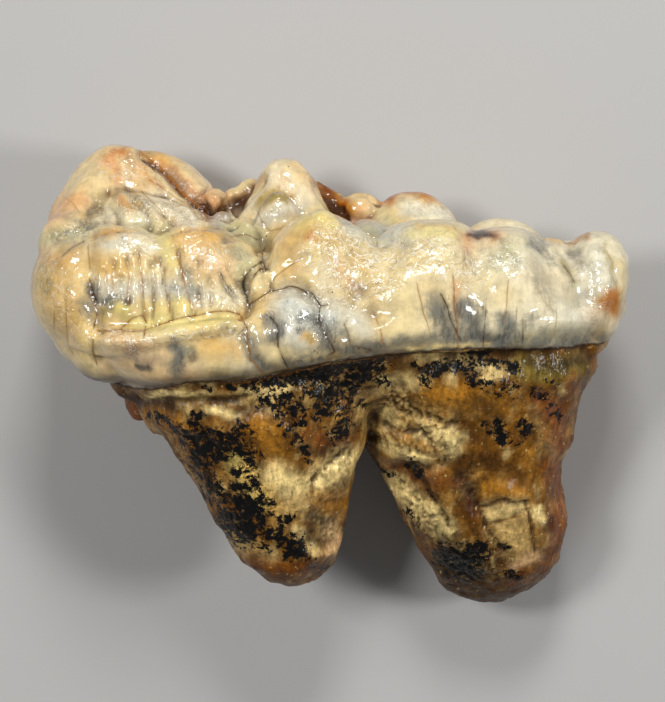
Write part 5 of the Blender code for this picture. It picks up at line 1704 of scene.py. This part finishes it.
def toothMaterial(layerCount):
    material = bpy.data.materials.new("lacquered fossil tooth")
    material.use_nodes = True
    tree = material.node_tree
    shader = tree.nodes["Principled BSDF"]
    shader.inputs["Coat Roughness"].default_value = toothLook["lacquerRoughness"]
    shader.inputs["Specular IOR Level"].default_value = toothLook["shine"]
    where = addNode(tree, "ShaderNodeTexCoord").outputs["Object"]
    perMetre = 1 / millimetre
    inMm = mapped(tree, where, (perMetre, perMetre, perMetre))
    grain = mapped(tree, where, (perMetre, perMetre * toothLook["grainShare"], perMetre))
    wrinkled = field(tree, "crinkle")
    enamel = enamelFinish(tree, inMm, grain, wrinkled)
    bone = boneFinish(tree, inMm, grain)

    # the ragged end of the enamel, with a dark seam along it
    gap = calc(tree, "ADD", field(tree, "neckGap"), spread(tree, inMm, "ragged", 0.5, 0.5))
    rootShare = ramp(tree, gap, *finishRamps["neck"])
    colour = mixColour(tree, rootShare, enamel, bone)
    seam = ramp(tree, calc(tree, "ABSOLUTE", gap), *finishRamps["seam"])
    colour = mixColour(tree, seam, colour, shade("umber"))
    colour = crackFinish(tree, colour, inMm, layerCount)

    relieved = reliefOf(tree, inMm, grain, wrinkled, rootShare)
    rough = ramp(tree, rootShare, 0.0, 1.0, toothLook["enamelRoughness"], toothLook["rootRoughness"])
    lacquer = ramp(tree, rootShare, 0.0, 1.0, toothLook["enamelLacquer"], toothLook["rootLacquer"])
    tree.links.new(colour, shader.inputs["Base Color"])
    tree.links.new(rough, shader.inputs["Roughness"])
    tree.links.new(lacquer, shader.inputs["Coat Weight"])
    tree.links.new(relieved, shader.inputs["Normal"])
    tree.links.new(relieved, shader.inputs["Coat Normal"])
    return material


def plainMaterial(name, colour, roughness):
    material = bpy.data.materials.new(name)
    material.use_nodes = True
    shader = material.node_tree.nodes["Principled BSDF"]
    shader.inputs["Base Color"].default_value = (*colour, 1.0)
    shader.inputs["Roughness"].default_value = roughness
    return material


studio = {
    "floorSize": 4.0,
    "floorColour": (0.50, 0.49, 0.475),
    "floorRoughness": 0.9,
    "worldColour": (0.80, 0.82, 0.85),
    "worldStrength": 0.10,
    "lights": {
        "window": ((20, 200, 200), 66, 0.36),
        "ceiling": ((-120, 40, 240), 60, 0.27),
        "lamp": ((190, 0, 170), 46, 0.25),
        "side": ((-220, -60, 120), 120, 0.04),
    },
}


def buildStudio(toothPlace):
    floorMesh = bpy.data.meshes.new("floor")
    half = studio["floorSize"] / 2
    corners = [(-half, -half, 0), (half, -half, 0), (half, half, 0), (-half, half, 0)]
    floorMesh.from_pydata(corners, [], [(0, 1, 2, 3)])
    floorMesh.materials.append(plainMaterial("pale floor", studio["floorColour"], studio["floorRoughness"]))
    floor = newObject("floor", floorMesh)
    world = bpy.data.worlds.new("studio")
    world.use_nodes = True
    sky = world.node_tree.nodes["Background"].inputs
    sky[0].default_value = (*studio["worldColour"], 1)
    sky[1].default_value = studio["worldStrength"]
    bpy.context.scene.world = world
    for name, (place, width, power) in studio["lights"].items():
        lamp = bpy.data.lights.new(name, "AREA")
        lamp.size = width * millimetre
        lamp.energy = power
        holder = newObject(name, lamp)
        holder.location = Vector(place) * millimetre
        holder.rotation_euler = (-holder.location).to_track_quat("-Z", "Y").to_euler()

    turn = toothPlace.to_3x3().normalized()
    tilt = picture["tilt"]
    back = turn @ Vector((0, -math.cos(tilt), math.sin(tilt)))
    up = turn @ Vector((0, math.sin(tilt), math.cos(tilt)))
    right = turn @ Vector((1, 0, 0))
    lens = bpy.data.cameras.new("camera")
    lens.sensor_width = picture["sensorWidth"]
    lens.lens = picture["sensorWidth"] * picture["distance"] * picture["pixelsPerMm"] / picture["longSide"]
    lens.clip_start = picture["nearClip"]
    eye = newObject("camera", lens)
    stand = Matrix((right, up, back)).transposed().to_4x4()
    stand.translation = toothPlace.translation + back * picture["distance"] * millimetre
    eye.matrix_world = stand
    bpy.context.scene.camera = eye
    bpy.context.scene.view_settings.view_transform = "Standard"


plain = plainMaterial("bare tooth", (0.62, 0.47, 0.24), 0.3)
toothMesh = growTooth(plain)
print("tooth grown:", len(toothMesh.polygons), "faces")
sculpt(toothMesh)
print("tooth sculpted")
layerCount = paintTooth(toothMesh)
print("tooth painted, crack layers:", layerCount)
toothPlace = layDown(toothMesh)
toothMesh.materials.clear()
toothMesh.materials.append(toothMaterial(layerCount))
toothMesh.polygons.foreach_set("use_smooth", [True] * len(toothMesh.polygons))
tooth = newObject("fossilTooth", toothMesh)
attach(tooth, "root")
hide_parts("tooth")
print("tooth laid down")
buildStudio(toothPlace)
print("studio ready")
